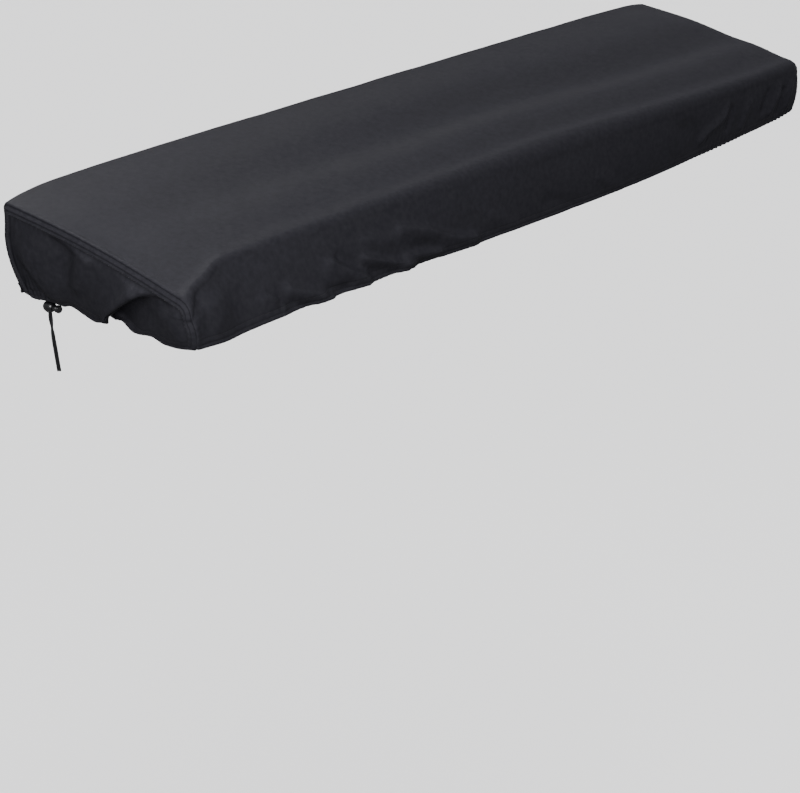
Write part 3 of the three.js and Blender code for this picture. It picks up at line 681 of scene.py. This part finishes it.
def step_towards(start, end, distance):
    """The points at a distance from the start on the straight line to the end."""
    return mix(start, end, (distance / np.linalg.norm(end - start, axis=-1))[:, None])


def corner_curve(start, corner, end, rows):
    """The parabola that touches both sides of a corner, without its two ends."""
    share = (np.arange(1, rows) / rows)[None, :, None]
    start, corner, end = start[:, None], corner[:, None], end[:, None]
    return mix(mix(start, corner, share), mix(corner, end, share), share)


def skirt(hem, bend_start, rows, folds, x, outwards):
    """A skirt's outer skin: the straight line from hem to bend, bellied by a parabola and folded. Its rows
    are a millimetre apart at the hem and even above that."""
    length = np.linalg.norm(bend_start - hem, axis=1)[:, None]
    casing = np.broadcast_to(np.arange(CASING_ROWS + 1.0), (len(x), CASING_ROWS + 1))
    even = CASING_ROWS + (length - CASING_ROWS) * (np.arange(1, rows + 1) / rows)[None]
    above = np.concatenate([casing, even], axis=1)
    share = above / length
    y = mix(hem[:, 0:1], bend_start[:, 0:1], share)
    z = mix(hem[:, 1:2], bend_start[:, 1:2], share)
    belly = SKIRT_BELLY * 4 * share * (1 - share)
    folded = fold_relief(folds, x[:, None], z) * fade(1 - share, over=FOLD_FADE)
    return np.stack([y + outwards * (belly + folded), z], axis=-1), above


def wrap_outline(x, rows):
    """The wrap's outer skin at each x, as (y, z) from the rear hem over the top to the front hem, with the
    height of each point above its hem."""
    rear_y, rear_soft, lift, bend_y, soft, sag, crown = between(EDGES, x)
    rear_hem_y, rear_hem_z, hem_y, hem_z = between(HEMS, x)
    rear_corner = np.column_stack([rear_y, top_plane(rear_y) + lift])
    front_corner = np.column_stack([bend_y, top_plane(bend_y)])
    rear_hem = np.column_stack([rear_hem_y, rear_hem_z])
    front_hem = np.column_stack([hem_y, hem_z])
    rear_low = step_towards(rear_corner, rear_hem, rear_soft)
    rear_top = step_towards(rear_corner, front_corner, rear_soft)
    front_top = step_towards(front_corner, rear_corner, soft)
    front_low = step_towards(front_corner, front_hem, soft)
    rear, rear_above = skirt(rear_hem, rear_low, rows["rear"], REAR_FOLDS, x, 1)
    front, front_above = skirt(front_hem, front_low, rows["front"], FRONT_FOLDS, x, -1)
    rear_bend = corner_curve(rear_low, rear_corner, rear_top, rows["rear_bend"])
    front_bend = corner_curve(front_top, front_corner, front_low, rows["front_bend"])
    across = (np.arange(rows["top"] + 1) / rows["top"])[None]
    top = mix(rear_top[:, None], front_top[:, None], across[..., None])
    drift = WAVE_DRIFT * fade(x, over=WAVE_DRIFT_REACH)[:, None] * 4 * across * (1 - across)
    waves = sag[:, None] * between(TOP_WAVES, across - drift)[0]
    top = top + np.stack([0 * waves, waves + crown[:, None] * np.sin(np.pi * across)], axis=-1)
    points = np.concatenate([rear, rear_bend, top, front_bend, front[:, ::-1]], axis=1)
    no_hem = np.full((len(x), points.shape[1] - rear.shape[1] - front.shape[1]), NO_HEM)
    return points, np.concatenate([rear_above, no_hem, front_above[:, ::-1]], axis=1)


def outward_directions(points):
    """Across the line from each point's neighbour before to the one after, in the section's plane."""
    before = np.concatenate([points[:, :1], points[:, :-1]], axis=1)
    after = np.concatenate([points[:, 1:], points[:, -1:]], axis=1)
    run = after - before
    return unit(np.stack([run[..., 1], -run[..., 0]], axis=-1))


def rows_at(grid, places):
    """Rows of a grid at fractional row places, straight between the two nearest."""
    low = np.clip(np.floor(places).astype(int), 0, grid.shape[1] - 2)
    share = (places - low).reshape((1, -1) + (1,) * (grid.ndim - 2))
    return mix(grid[:, low], grid[:, low + 1], share)


def corner_draw(y, from_end, above):
    """How far the drawcord pulls a skirt's end in along the length: fading upwards as a square, and away
    from the end as a smooth step."""
    most = np.where(y > 0, REAR_CORNER_DRAWN, FRONT_CORNER_DRAWN)
    return most * fade(1 - from_end / PULL_REACH) * np.maximum(0, 1 - above / DRAWN_IN_REACH) ** 2


def wrap_details(x, outline, above):
    """Relief that only the cloth has: puckers along the end seams and the hems, as sine waves of uneven
    phase that die away from the seam, the creases on the top and a slow unevenness."""
    y = outline[..., 0]
    x = np.broadcast_to(x[:, None], y.shape)
    from_end = HALF_LENGTH - np.abs(x)
    steps = np.linalg.norm(np.diff(outline, axis=1), axis=2)
    place = np.concatenate([np.zeros((len(x), 1)), np.cumsum(steps, axis=1)], axis=1)
    seam_waves = uneven_waves(place, SEAM_PUCKERS, soft_noise(x, place, cell=30, seed=11), drift=2.5)
    hem_waves = uneven_waves(x, HEM_PUCKERS, soft_noise(x, y, cell=60, seed=12), drift=3)
    strength = HEM_PUCKER_HEIGHT + HEM_PUCKER_SPREAD * soft_noise(x, y, cell=90, seed=13)
    for at, over, by in FRONT_GATHERS:
        strength = strength + by * bell(x - at, over) * (y < 0)
    relief = SEAM_PUCKER_HEIGHT * seam_waves * decay(from_end, over=9)
    relief += strength * hem_waves * decay(above, over=9 + 11 * strength) * fade(from_end, over=8)
    relief += WRAP_UNEVENNESS * soft_noise(x, place, cell=46, seed=14) * fade(from_end, over=30)
    creases = fold_relief(TOP_CREASES, x, y)
    return relief + creases * fade(above - 40, over=26) * fade(from_end, over=8)


def wrap_points():
    """The wrap's grid, stations by rows: the outline less depth times its outward direction, where depth is
    that of the hem's section, of the turned end and of the roll towards the seam."""
    plain = np.concatenate([np.arange(*stretch) for stretch in END_STATIONS])
    end = np.concatenate([END_TURN, np.column_stack([plain, 0 * plain])])
    fine = np.linspace(end[-1, 0] - HALF_LENGTH, HALF_LENGTH - end[-1, 0], FINE_STATIONS)
    steps = np.cumsum((fine[1] - fine[0]) / np.interp(fine, *STATION_STEPS.T))
    middle = np.interp(np.linspace(steps[0], steps[-1], int(steps[-1]) + 1)[1:-1], steps, fine)
    x = np.concatenate([end[:, 0] - HALF_LENGTH, middle, HALF_LENGTH - end[::-1, 0]])
    end_depth = np.concatenate([end[:, 1], 0 * middle, end[::-1, 1]])
    from_end = HALF_LENGTH - np.abs(x)
    outline, above = wrap_outline(x, WRAP_ROWS)
    outwards = outward_directions(outline)
    outline = outline + outwards * wrap_details(x, outline, above)[..., None]
    hem = CASING_INSIDE + CASING_OUTSIDE
    last = outline.shape[1] - 1
    rows = hem + [(row, 0.0) for row in range(CASING_ROWS, last - CASING_ROWS + 1)]
    rows = np.array(rows + [(last - height, depth) for height, depth in reversed(hem)])
    points, outwards, above = (rows_at(grid, rows[:, 0]) for grid in (outline, outwards, above))
    in_seam = fade(end_depth, over=TURN_DEPTH)
    roll = END_ROLL * np.maximum(0, 1 - from_end / END_ROLL_REACH) ** 2
    depth = rows[None, :, 1] * (1 - HEM_IN_SEAM * in_seam)[:, None] + (end_depth + roll)[:, None]
    points = points - outwards * depth[..., None]
    drawn = corner_draw(points[..., 0], from_end[:, None], above)
    return np.concatenate([(x[:, None] - np.sign(x)[:, None] * drawn)[..., None], points], axis=-1)


def cloth_uv(points):
    """Places on the flat cloth in metres: the mean lengths along the grid's columns and rows."""
    across = np.linalg.norm(np.diff(points, axis=0), axis=2).mean(axis=1)
    down = np.linalg.norm(np.diff(points, axis=1), axis=2).mean(axis=0)
    places = [np.concatenate([[0], np.cumsum(steps)]) * MM for steps in (across, down)]
    return np.stack(np.meshgrid(*places, indexing="ij"), axis=-1).reshape(-1, 2)


def cloth_piece(name, points, flipped):
    """A sheet of cloth from a grid of points, with its faces outwards."""
    faces = grid_faces(*points.shape[:2])
    if flipped:
        faces = faces[:, ::-1]
    return new_piece(name, points, faces, cloth_uv(points))


def weave_group():
    """Plain weave from places on the cloth in metres: 0.5 + 0.5 sin(pi u / pitch) sin(pi v / pitch), so
    that high and low squares alternate as yarns over and under each other."""
    group, source, target = relief_group("plain_weave", "UV", "Pitch")
    turn = add_node(group, "ShaderNodeMath", [(1, source.outputs["Pitch"])], operation="DIVIDE")
    turn.inputs[0].default_value = math.pi
    split = add_node(group, "ShaderNodeSeparateXYZ", [("Vector", source.outputs["UV"])])
    waves = []
    for axis in ("X", "Y"):
        links = [(0, split.outputs[axis]), (1, turn.outputs[0])]
        angle = add_node(group, "ShaderNodeMath", links, operation="MULTIPLY")
        wave = add_node(group, "ShaderNodeMath", [(0, angle.outputs[0])], operation="SINE")
        waves.append(wave.outputs[0])
    product = add_node(group, "ShaderNodeMath", enumerate(waves), operation="MULTIPLY").outputs[0]
    mask = add_node(group, "ShaderNodeMapRange", [("Value", product)], From_Min=-1.0, From_Max=1.0)
    return end_group(group, source, target, mask.outputs["Result"])


def coated_cloth(name, dark, light, roughness):
    """Coated plain weave: slow mottling, shallow rumples, the weave and fine fibres, one over the other."""
    material, tree, shader = new_material(name, Specular_IOR_Level=0.02)
    place = object_place(tree)
    uv = add_node(tree, "ShaderNodeUVMap", uv_map="UVMap").outputs["UV"]
    rumple = lay_relief(tree, fibres, place, Scale=70.0, Depth=0.0004)
    woven = lay_relief(tree, plain_weave, uv, rumple, Pitch=WEAVE_PITCH, Depth=0.00006)
    fine = lay_relief(tree, fibres, place, woven, Scale=900.0, Depth=0.00004)
    mottle = add_node(tree, "ShaderNodeTexNoise", [("Vector", place)], Scale=150.0, Detail=4.0)
    shade(tree, shader, mottle.outputs["Fac"], dark, light, roughness, fine.outputs["Normal"])
    return material


plain_weave = weave_group()
CLOTH_COLOURS = ((0.015, 0.0148, 0.0182), (0.0197, 0.0194, 0.0234))
cloth_finish = coated_cloth("coated_cloth", *CLOTH_COLOURS, (0.46, 0.54))
wrap_grid = wrap_points()
wrap_cloth = cloth_piece("wrap_cloth", wrap_grid, flipped=True)
finish(wrap_cloth, cloth_finish)
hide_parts("wrap_panel")


# End panels. Each is one flat piece of the same cloth, sewn on along the wrap's end and hemmed below. The
# drawcord gathers the hem, so the left panel hangs in folds, with one that laps over its neighbour.

SEAM_DEPTH = 3.8
END_BULGE = 3.0
EDGE_RISE = 2.3
BAND_WIDTH = 8.2
PANEL_WIDTH = 290
PANEL_ROWS = 52
PANEL_COLUMNS = 165
LAP_ROWS = 10
LAP_STEP = 0.9
PANEL_PUCKERS = 7
PANEL_PUCKER_HEIGHT = 0.22
PANEL_HEM_HEIGHT = 0.15
CRUMPLE_HEIGHT = 1.4
PANEL_UNEVENNESS = 0.3
# Where more columns start, as shares of the width: from, to and how many, and the least share between two.
CLOSE_COLUMNS = ((0.02, 0.24, 60), (0.78, 0.96, 90))
CLOSEST = 0.0006
SEAM_ROWS = {"rear": 90, "rear_bend": 24, "top": 240, "front_bend": 28, "front": 60}

# The hem from rear to front: at what share of the top its column of cloth starts, its y and z, and how far
# it is drawn in.
LEFT_HEM = np.array([
    (0, 130, -109, 8),
    (0.035, 122, -112.5, 10),
    (0.075, 115, -115, 11),
    (0.125, 102, -114, 12),
    (0.185, 87, -113.5, 13),
    (0.26, 68, -113.5, 12),
    (0.31, 57, -110, 11),
    (0.36, 46, -110.5, 10),
    (0.41, 35, -113, 9),
    (0.55, 15, -116.5, 7),
    (0.68, 4, -115, 6.5),
    (0.79, -3.5, -114, 6),
    (0.825, -6, -113, 7.5),
    (0.842, -0.5, -111.2, 13),
    (0.855, 3.6, -110.8, 18),
    (0.867, 3.4, -110.6, 22),
    (0.879, -3.5, -110.7, 23.2),
    (0.893, -16, -112.4, 20),
    (0.903, -24, -114, 17),
    (0.916, -36, -117, 13.5),
    (0.927, -47, -116.5, 11),
    (0.945, -69, -113.8, 10),
    (0.953, -78, -115.8, 10),
    (0.961, -88, -117.5, 9),
    (0.972, -102, -117, 8),
    (0.984, -118, -114.5, 6),
    (1, -143, -109, 4),
])
RIGHT_HEM = np.array([
    (0, 132, -122, 8),
    (0.1, 106, -124, 8),
    (0.18, 84, -121, 14),
    (0.27, 58, -125, 9),
    (0.37, 30, -124, 10),
    (0.46, 8, -121, 16),
    (0.56, -20, -126, 9),
    (0.66, -48, -125, 10),
    (0.74, -70, -122, 15),
    (0.83, -96, -128, 8),
    (1, -140, -132, 4),
])
# The end panels' folds, as above, with their paths as (y, z).
LEFT_FOLDS = [
    (5.5, 9, 28, [(104, -68), (95, -81), (86, -93), (76, -107)]),
    (5, 16, 5, [
        (44, -18), (29, -21), (17, -24), (7, -28), (4, -34), (7, -43), (12, -53), (19, -66), (25, -76),
    ]),
    (-4.6, 15, 12, [(58, -30), (47, -35), (40, -42), (42, -52), (46, -63)]),
    (0.9, 6, 6, [(4, -38), (3, -41)]),
    (0.9, 6, 6, [(-6, -44), (-8, -47)]),
    (3, 28, 10, [(-84, -46), (-68, -58), (-46, -77), (-20, -104)]),
    (8, 11, 8, [(-62, -65), (-46, -78), (-36, -86), (-25, -97), (-16, -107)]),
    (-12, 6, 16, [(-72, -74), (-48, -88), (-34, -99)]),
    (-4.5, 8, 14, [(-104, -59), (-88, -65)]),
    (3, 20, 18, [(-114, -80), (-120, -104)]),
    (1.2, 14, 10, [(-92, -47), (-80, -54)]),
]
# How far the cloth is tucked to the rear under the lapping fold.
LEFT_TUCKS = [(18, 5, 12, [(-74, -72), (-48, -88), (-30, -101)])]
RIGHT_FOLDS = [
    (-5, 10, 10, [(92, -52), (84, -122)]),
    (4, 12, 12, [(62, -60), (56, -124)]),
    (-5, 11, 11, [(18, -42), (8, -120)]),
    (4, 13, 13, [(-18, -58), (-22, -124)]),
    (-5, 10, 10, [(-64, -54), (-70, -121)]),
    (3, 12, 12, [(-96, -70), (-98, -125)]),
]
# By side: where the hem is gathered most, how wide and by how much, the waves' spacing and the random seed.
GATHERS = {-1: (105, 19, 1.1, 6.5, 21), 1: (20, 60, 0.25, 10, 31)}


def seam_line(side):
    """The line on which an end panel meets the wrap, from the rear hem to the front hem, and the numbers
    of its points at the middle of the rear and of the front bend."""
    outline, above = wrap_outline(np.array([side * HALF_LENGTH]), SEAM_ROWS)
    points = outline - outward_directions(outline) * SEAM_DEPTH
    x = side * (HALF_LENGTH - corner_draw(outline[..., 0], 0, above))
    line = np.concatenate([x[..., None], points], axis=-1)[0]
    rear_corner = CASING_ROWS + 1 + SEAM_ROWS["rear"] + SEAM_ROWS["rear_bend"] // 2
    front_corner = len(line) - (CASING_ROWS + 1 + SEAM_ROWS["front"] + SEAM_ROWS["front_bend"] // 2)
    return line, rear_corner, front_corner


def line_at(line, share):
    """Points at shares of a line's length."""
    place = arc_lengths(line)
    return points_along(line, place, np.clip(share, 0, 1) * place[-1])


def panel_columns():
    """Shares across the top at which columns start: close at both seams and where the cloth laps."""
    seam = np.arange(LAP_ROWS) * LAP_STEP
    middle = np.linspace(LAP_ROWS * LAP_STEP, PANEL_WIDTH - LAP_ROWS * LAP_STEP, PANEL_COLUMNS)[1:-1]
    even = np.concatenate([seam, middle, PANEL_WIDTH - seam]) / PANEL_WIDTH
    across = np.sort(np.concatenate([even, *(np.linspace(*stretch) for stretch in CLOSE_COLUMNS)]))
    across = across[np.concatenate([[True], np.diff(across) > CLOSEST])]
    across[-1] = 1.0
    return across


def fold_panel(points, side, folds, tucks, line, down, height):
    """Moves a stretched panel outwards by a bulge, which is a sine from top to hem, by a rise beside the
    seam, its folds, the puckers of seam and hem, crumples where the hem is gathered and a slow unevenness,
    and rearwards by its tucks."""
    y, z = points[..., 1], points[..., 2]
    from_seam = to_path(line[:, 1:], y, z)[0]
    above = (1 - down) * height
    gathered_at, gathered_over, gathered_by, spacing, seed = GATHERS[side]
    seam_waves = uneven_waves(y, PANEL_PUCKERS, soft_noise(y, z, cell=24, seed=seed), drift=2.5)
    hem_waves = uneven_waves(y, spacing, soft_noise(y, z, cell=20, seed=seed + 1), drift=3)
    gathered = gathered_by * bell(y - gathered_at, gathered_over)
    free = fade(from_seam - BAND_WIDTH, over=7) * fade(above, over=14)
    relief = END_BULGE * np.sin(np.pi * down) * fade(from_seam, over=22)
    relief += EDGE_RISE * fade(from_seam, over=8) * (1 - down)
    relief += fold_relief(folds, y, z) * free
    relief += PANEL_PUCKER_HEIGHT * seam_waves * bell(from_seam - 9, over=6)
    relief += (PANEL_HEM_HEIGHT + gathered) * hem_waves * decay(above, over=18) * fade(above, over=3)
    crumples = soft_noise(y, z, cell=5.5, seed=seed + 3) * decay(above, over=26)
    relief += CRUMPLE_HEIGHT * gathered * crumples * fade(above, over=3)
    slow = soft_noise(y, z, cell=22, seed=seed + 2)
    relief += PANEL_UNEVENNESS * slow * fade(from_seam, over=16) * fade(above, over=12)
    tucked = fold_relief(tucks, y, z) * free
    points[..., 0] += side * relief
    points[..., 1] += tucked


def panel_skin(side, hem, folds, tucks):
    """An end panel's outer skin. It is stretched between its four sides, top, hem and both ends: the sum of
    the two ruled sheets less the one through the corners. Then it is folded."""
    line, rear_corner, front_corner = seam_line(side)
    rear, top, front = line[rear_corner::-1], line[rear_corner : front_corner + 1], line[front_corner:]
    across = panel_columns()
    y, z, drawn = between(hem, across)
    foot = np.column_stack([side * (HALF_LENGTH - drawn), y, z])
    foot[0], foot[-1] = line[0], line[-1]
    head = line_at(top, across)
    height = np.linalg.norm(foot - head, axis=1)
    height[0], height[-1] = arc_lengths(rear)[-1], arc_lengths(front)[-1]
    height = height[:, None]
    lap = np.arange(LAP_ROWS) * LAP_STEP
    even = mix(lap[-1], height - CASING_ROWS, np.arange(1, PANEL_ROWS) / PANEL_ROWS)
    lap = np.broadcast_to(lap, (len(across), LAP_ROWS))
    casing = height - np.arange(CASING_ROWS, -1, -1.0)
    down = np.concatenate([lap, even, casing], axis=1) / height
    across = across[:, None]
    ruled = mix(head[:, None], foot[:, None], down[..., None])
    sided = mix(line_at(rear, down), line_at(front, down), across[..., None])
    upper, lower = (mix(rear[end], front[end], across[..., None]) for end in (0, -1))
    points = ruled + sided - mix(upper, lower, down[..., None])
    lowered = mix(head[:, None, 0], foot[:, None, 0], down**2)
    from_side = np.minimum(across, 1 - across) * PANEL_WIDTH
    points[..., 0] = mix(points[..., 0], lowered, fade(from_side, over=24))
    fold_panel(points, side, folds, tucks, line, down, height)
    return points, line


def sheet_normals(points, side):
    """Across both directions of the grid, turned away from the inside of the cover."""
    normals = np.cross(np.gradient(points, axis=0), np.gradient(points, axis=1))
    return side * normals / np.maximum(np.linalg.norm(normals, axis=2, keepdims=True), 1e-9)


def panel_grid(side, hem, folds, tucks):
    """A panel's grid: its outer skin, then the section of the doubled hem."""
    skin, line = panel_skin(side, hem, folds, tucks)
    outwards = sheet_normals(skin, side)
    last = skin.shape[1] - 1
    rows = [(row, 0.0) for row in range(last - CASING_ROWS)]
    casing = reversed(CASING_INSIDE + CASING_OUTSIDE)
    rows = np.array(rows + [(last - height, depth) for height, depth in casing])
    return rows_at(skin, rows[:, 0]) - rows_at(outwards, rows[:, 0]) * rows[None, :, 1, None], line


panels = {}
panel_grids = {}
seam_lines = {}
for name, side, hem, folds, tucks in (
    ("left", -1, LEFT_HEM, LEFT_FOLDS, LEFT_TUCKS),
    ("right", 1, RIGHT_HEM, RIGHT_FOLDS, []),
):
    panel_grids[name], seam_lines[name] = panel_grid(side, hem, folds, tucks)
    panels[name] = cloth_piece("end_cloth_" + name, panel_grids[name], flipped=side < 0)
    finish(panels[name], cloth_finish)
    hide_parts("end_panel_" + name)


# Seam bands. A narrow strip of the cloth is lapped over each end seam to cover its raw edges, and is sewn
# down along both of its sides. The rows of stitches pull two grooves into it.

BAND_STATIONS = 380
BAND_END = 0.3
BAND_WAVE_HEIGHT = 0.12
BAND_OUTER_STITCH = 8
BAND_INNER_STITCH = 12
# The band in section, as distance from the seam and rise over the panel.
BAND_SECTION = np.array([
    (-0.2, -1.2), (-0.1, -0.2), (0.4, 0.2), (1.2, 0.9), (2.2, 2.0), (3.1, 2.8), (3.8, 2.8), (4.3, 2.2),
    (4.7, 1.7), (5.1, 1.8), (5.9, 2.7), (6.7, 3.6), (7.4, 3.7), (7.9, 3.2), (8.15, 2.6), (8.2, 1.2),
])


def band_grid(side, line):
    """The section carried along the seam: inwards in the panel's plane, and out by rise and slow waves."""
    place = arc_lengths(line)
    at = np.linspace(BAND_END, place[-1] - BAND_END, BAND_STATIONS)
    spots = points_along(line, place, at)
    run = unit(np.gradient(spots[:, 1:], axis=0))
    inwards = np.column_stack([run[:, 1], -run[:, 0]])
    noise = soft_noise(at, 0 * at, cell=30, seed=41)
    waves = BAND_WAVE_HEIGHT * uneven_waves(at, SEAM_PUCKERS, noise, drift=2)
    flat = spots[:, None, 1:] - inwards[:, None] * BAND_SECTION[None, :, 0, None]
    x = spots[:, None, 0] + side * (BAND_SECTION[None, :, 1] + waves[:, None])
    return np.concatenate([x[..., None], flat], axis=-1)


bands = {}
band_grids = {}
for name, side in (("left", -1), ("right", 1)):
    band_grids[name] = band_grid(side, seam_lines[name])
    bands[name] = cloth_piece("seam_band_" + name, band_grids[name], flipped=side < 0)
    finish(bands[name], cloth_finish)


# Stitching. Polyester thread in stitches of 2.9 mm: two rows on each seam band, one row above the cord's
# channel and one at the turned edge of the hem. Each stitch dips into the cloth at both its ends.

STITCH_LENGTH = 2.9
STITCH_GAP = 0.55
THREAD_RADIUS = 0.19
THREAD_AROUND = 6
LOOK_AHEAD = 0.3
# Columns without hem stitches at each end.
WRAP_UNSEWN = len(END_TURN) + 3
PANEL_UNSEWN = 8
# Share of the stitch's length, share of the thread's radius, and rise over the cloth.
STITCH = np.array([(0, 0, -0.25), (0.08, 0.8, -0.05), (0.5, 1, 0.08), (0.92, 0.8, -0.05), (1, 0, -0.25)])


def stitching(name, rows):
    """Thread along lines, given as points and outward directions. Each stitch is a tube along its stretch
    of the line, with the radius and rise of the profile."""
    turn = 2 * np.pi * np.arange(THREAD_AROUND) / THREAD_AROUND
    tubes = []
    for line, outwards in rows:
        place = arc_lengths(line)
        starts = np.arange(STITCH_GAP, place[-1] - STITCH_LENGTH, STITCH_LENGTH + STITCH_GAP)
        at = starts[:, None] + STITCH_LENGTH * STITCH[None, :, 0]
        middle = points_along(line, place, at)
        out = points_along(outwards, place, at)
        ahead = points_along(line, place, at + LOOK_AHEAD) - points_along(line, place, at - LOOK_AHEAD)
        across = np.cross(out, unit(ahead))
        ring = across[..., None, :] * np.cos(turn)[:, None] + out[..., None, :] * np.sin(turn)[:, None]
        middle = middle + out * STITCH[None, :, 2, None]
        tubes.append(middle[..., None, :] + THREAD_RADIUS * STITCH[None, :, 1, None, None] * ring)
    tubes = np.concatenate(tubes)
    one = grid_faces(len(STITCH), THREAD_AROUND, rows_closed=True)
    first = np.arange(len(tubes))[:, None, None] * len(STITCH) * THREAD_AROUND
    return new_piece(name, tubes, (one + first).reshape(-1, 4))


def outward_rows(points, side, rows):
    """The grid's rows as lines of points with their outward directions."""
    outwards = sheet_normals(points, side)
    return [(points[:, row], outwards[:, row]) for row in rows]


THREAD_COLOURS = ((0.01, 0.01, 0.012), (0.022, 0.022, 0.025))
thread_finish = yarn_material("polyester_thread", *THREAD_COLOURS, 3000.0, (0.4, 0.55))
outer = len(CASING_INSIDE)
rear_rows = [outer + CHANNEL_STITCH, outer + EDGE_STITCH]
front_rows = [wrap_grid.shape[1] - 1 - row for row in rear_rows]
sewn = wrap_grid[WRAP_UNSEWN:-WRAP_UNSEWN]
hem_thread = stitching("hem_thread", outward_rows(sewn, -1, rear_rows + front_rows))
finish(hem_thread, thread_finish)

# The stitching on the seam bands and on the end panels' hems.
for name, side in (("left", -1), ("right", 1)):
    sideways = np.tile([side, 0.0, 0.0], (BAND_STATIONS, 1))
    band_rows = [(band_grids[name][:, row], sideways) for row in (BAND_OUTER_STITCH, BAND_INNER_STITCH)]
    band_thread = stitching("band_thread_" + name, band_rows)
    grid = panel_grids[name][PANEL_UNSEWN:-PANEL_UNSEWN]
    end_rows = [grid.shape[1] - 1 - row for row in rear_rows]
    end_thread = stitching("end_thread_" + name, outward_rows(grid, side, end_rows))
    finish(band_thread, thread_finish)
    finish(end_thread, thread_finish)


# Cord outlets. Two small black eyelets in the inner side of the hem, through which the ends of the drawcord
# leave their channel on the way to the cord lock.

OUTLET_SECTION = np.array([
    (1.25, -1.6), (1.5, 1.2), (1.9, 1.5), (2.5, 1.4), (2.9, 1.0), (2.6, 0.6), (2.0, 0.4), (1.8, -1.6),
])
OUTLET_STEPS = 40


def outlet(name, route):
    """A closed section of radius and place along the cord, turned about the cord where it starts."""
    line = route[0] - unit(route[1] - route[0]) * OUTLET_SECTION[:, 1:2]
    across = [directions[:1] for directions in across_line(route[:2])]
    points = rings(line, OUTLET_SECTION[:, :1], OUTLET_STEPS, across)
    return tube(name, np.concatenate([points, points[:1]]))


OUTLET_COLOURS = ((0.01, 0.01, 0.012), (0.03, 0.03, 0.032))
outlet_finish = plastic_material("lacquered_eyelet", *OUTLET_COLOURS, (0.25, 0.4), 1500.0)
for letter in "ab":
    finish(outlet("cord_outlet_" + letter, routes[letter]), outlet_finish)


# Studio. A floor far below that the camera sees as plain near-white, and a whitish surround. For all other
# light the floor is dark grey: painted shade, so that it throws less light back onto the cover. A wide
# soft key light comes from behind and above, weaker ones come from above and from the front, and a small
# panel at the front left lights the end.

FLOOR_HEIGHT = -1.5
FLOOR_HALF = 30.0

corners = [(x * FLOOR_HALF, y * FLOOR_HALF, FLOOR_HEIGHT) for x, y in ((-1, -1), (1, -1), (1, 1), (-1, 1))]
floor_mesh = bpy.data.meshes.new("floor")
floor_mesh.from_pydata(corners, [], [(0, 1, 2, 3)])
floor = add_object("floor", floor_mesh)
floor_finish, floor_tree, floor_shader = new_material("floor_seen_white_bounced_dark", Roughness=0.9, Specular_IOR_Level=0.0)
# Painted shade: the floor is near-white for camera rays only. For every other ray it is dark grey, so it
# throws less light onto the cover.
seen = floor_tree.nodes.new("ShaderNodeLightPath").outputs["Is Camera Ray"]
seen_white_bounced_dark = colour_between(floor_tree, seen, (0.15, 0.15, 0.15), (0.92, 0.92, 0.92), 0.0, 1.0)
floor_tree.links.new(seen_white_bounced_dark, floor_shader.inputs["Base Color"])
floor_mesh.materials.append(floor_finish)

world = bpy.data.worlds.new("surround")
bpy.context.scene.world = world
world.use_nodes = True
background = world.node_tree.nodes["Background"]
background.inputs["Color"].default_value = (0.96, 0.96, 1.0, 1)
background.inputs["Strength"].default_value = 0.45


def new_light(name, kind, place, aim, power):
    """A light at a place, facing another."""
    data = bpy.data.lights.new(name, kind)
    data.energy = power
    light = add_object(name, data)
    light.location = place
    light.rotation_euler = (Vector(place) - Vector(aim)).to_track_quat("Z", "Y").to_euler()
    return data


# The suns: where each shines from, how strong it is, and how wide it looks in degrees.
for name, towards, strength, spread in (
    ("key_light", (0.3, 0.62, 0.7), 3.4, 42),
    ("top_light", (-0.1, -0.35, 0.93), 1.5, 40),
    ("front_light", (-0.25, -0.85, 0.45), 0.88, 50),
):
    new_light(name, "SUN", towards, (0.0, 0.0, 0.0), strength).angle = math.radians(spread)
new_light("fill_light", "AREA", (-1.45, -0.62, 0.5), (-0.63, 0.0, 0.0), 18.0).size = 0.65
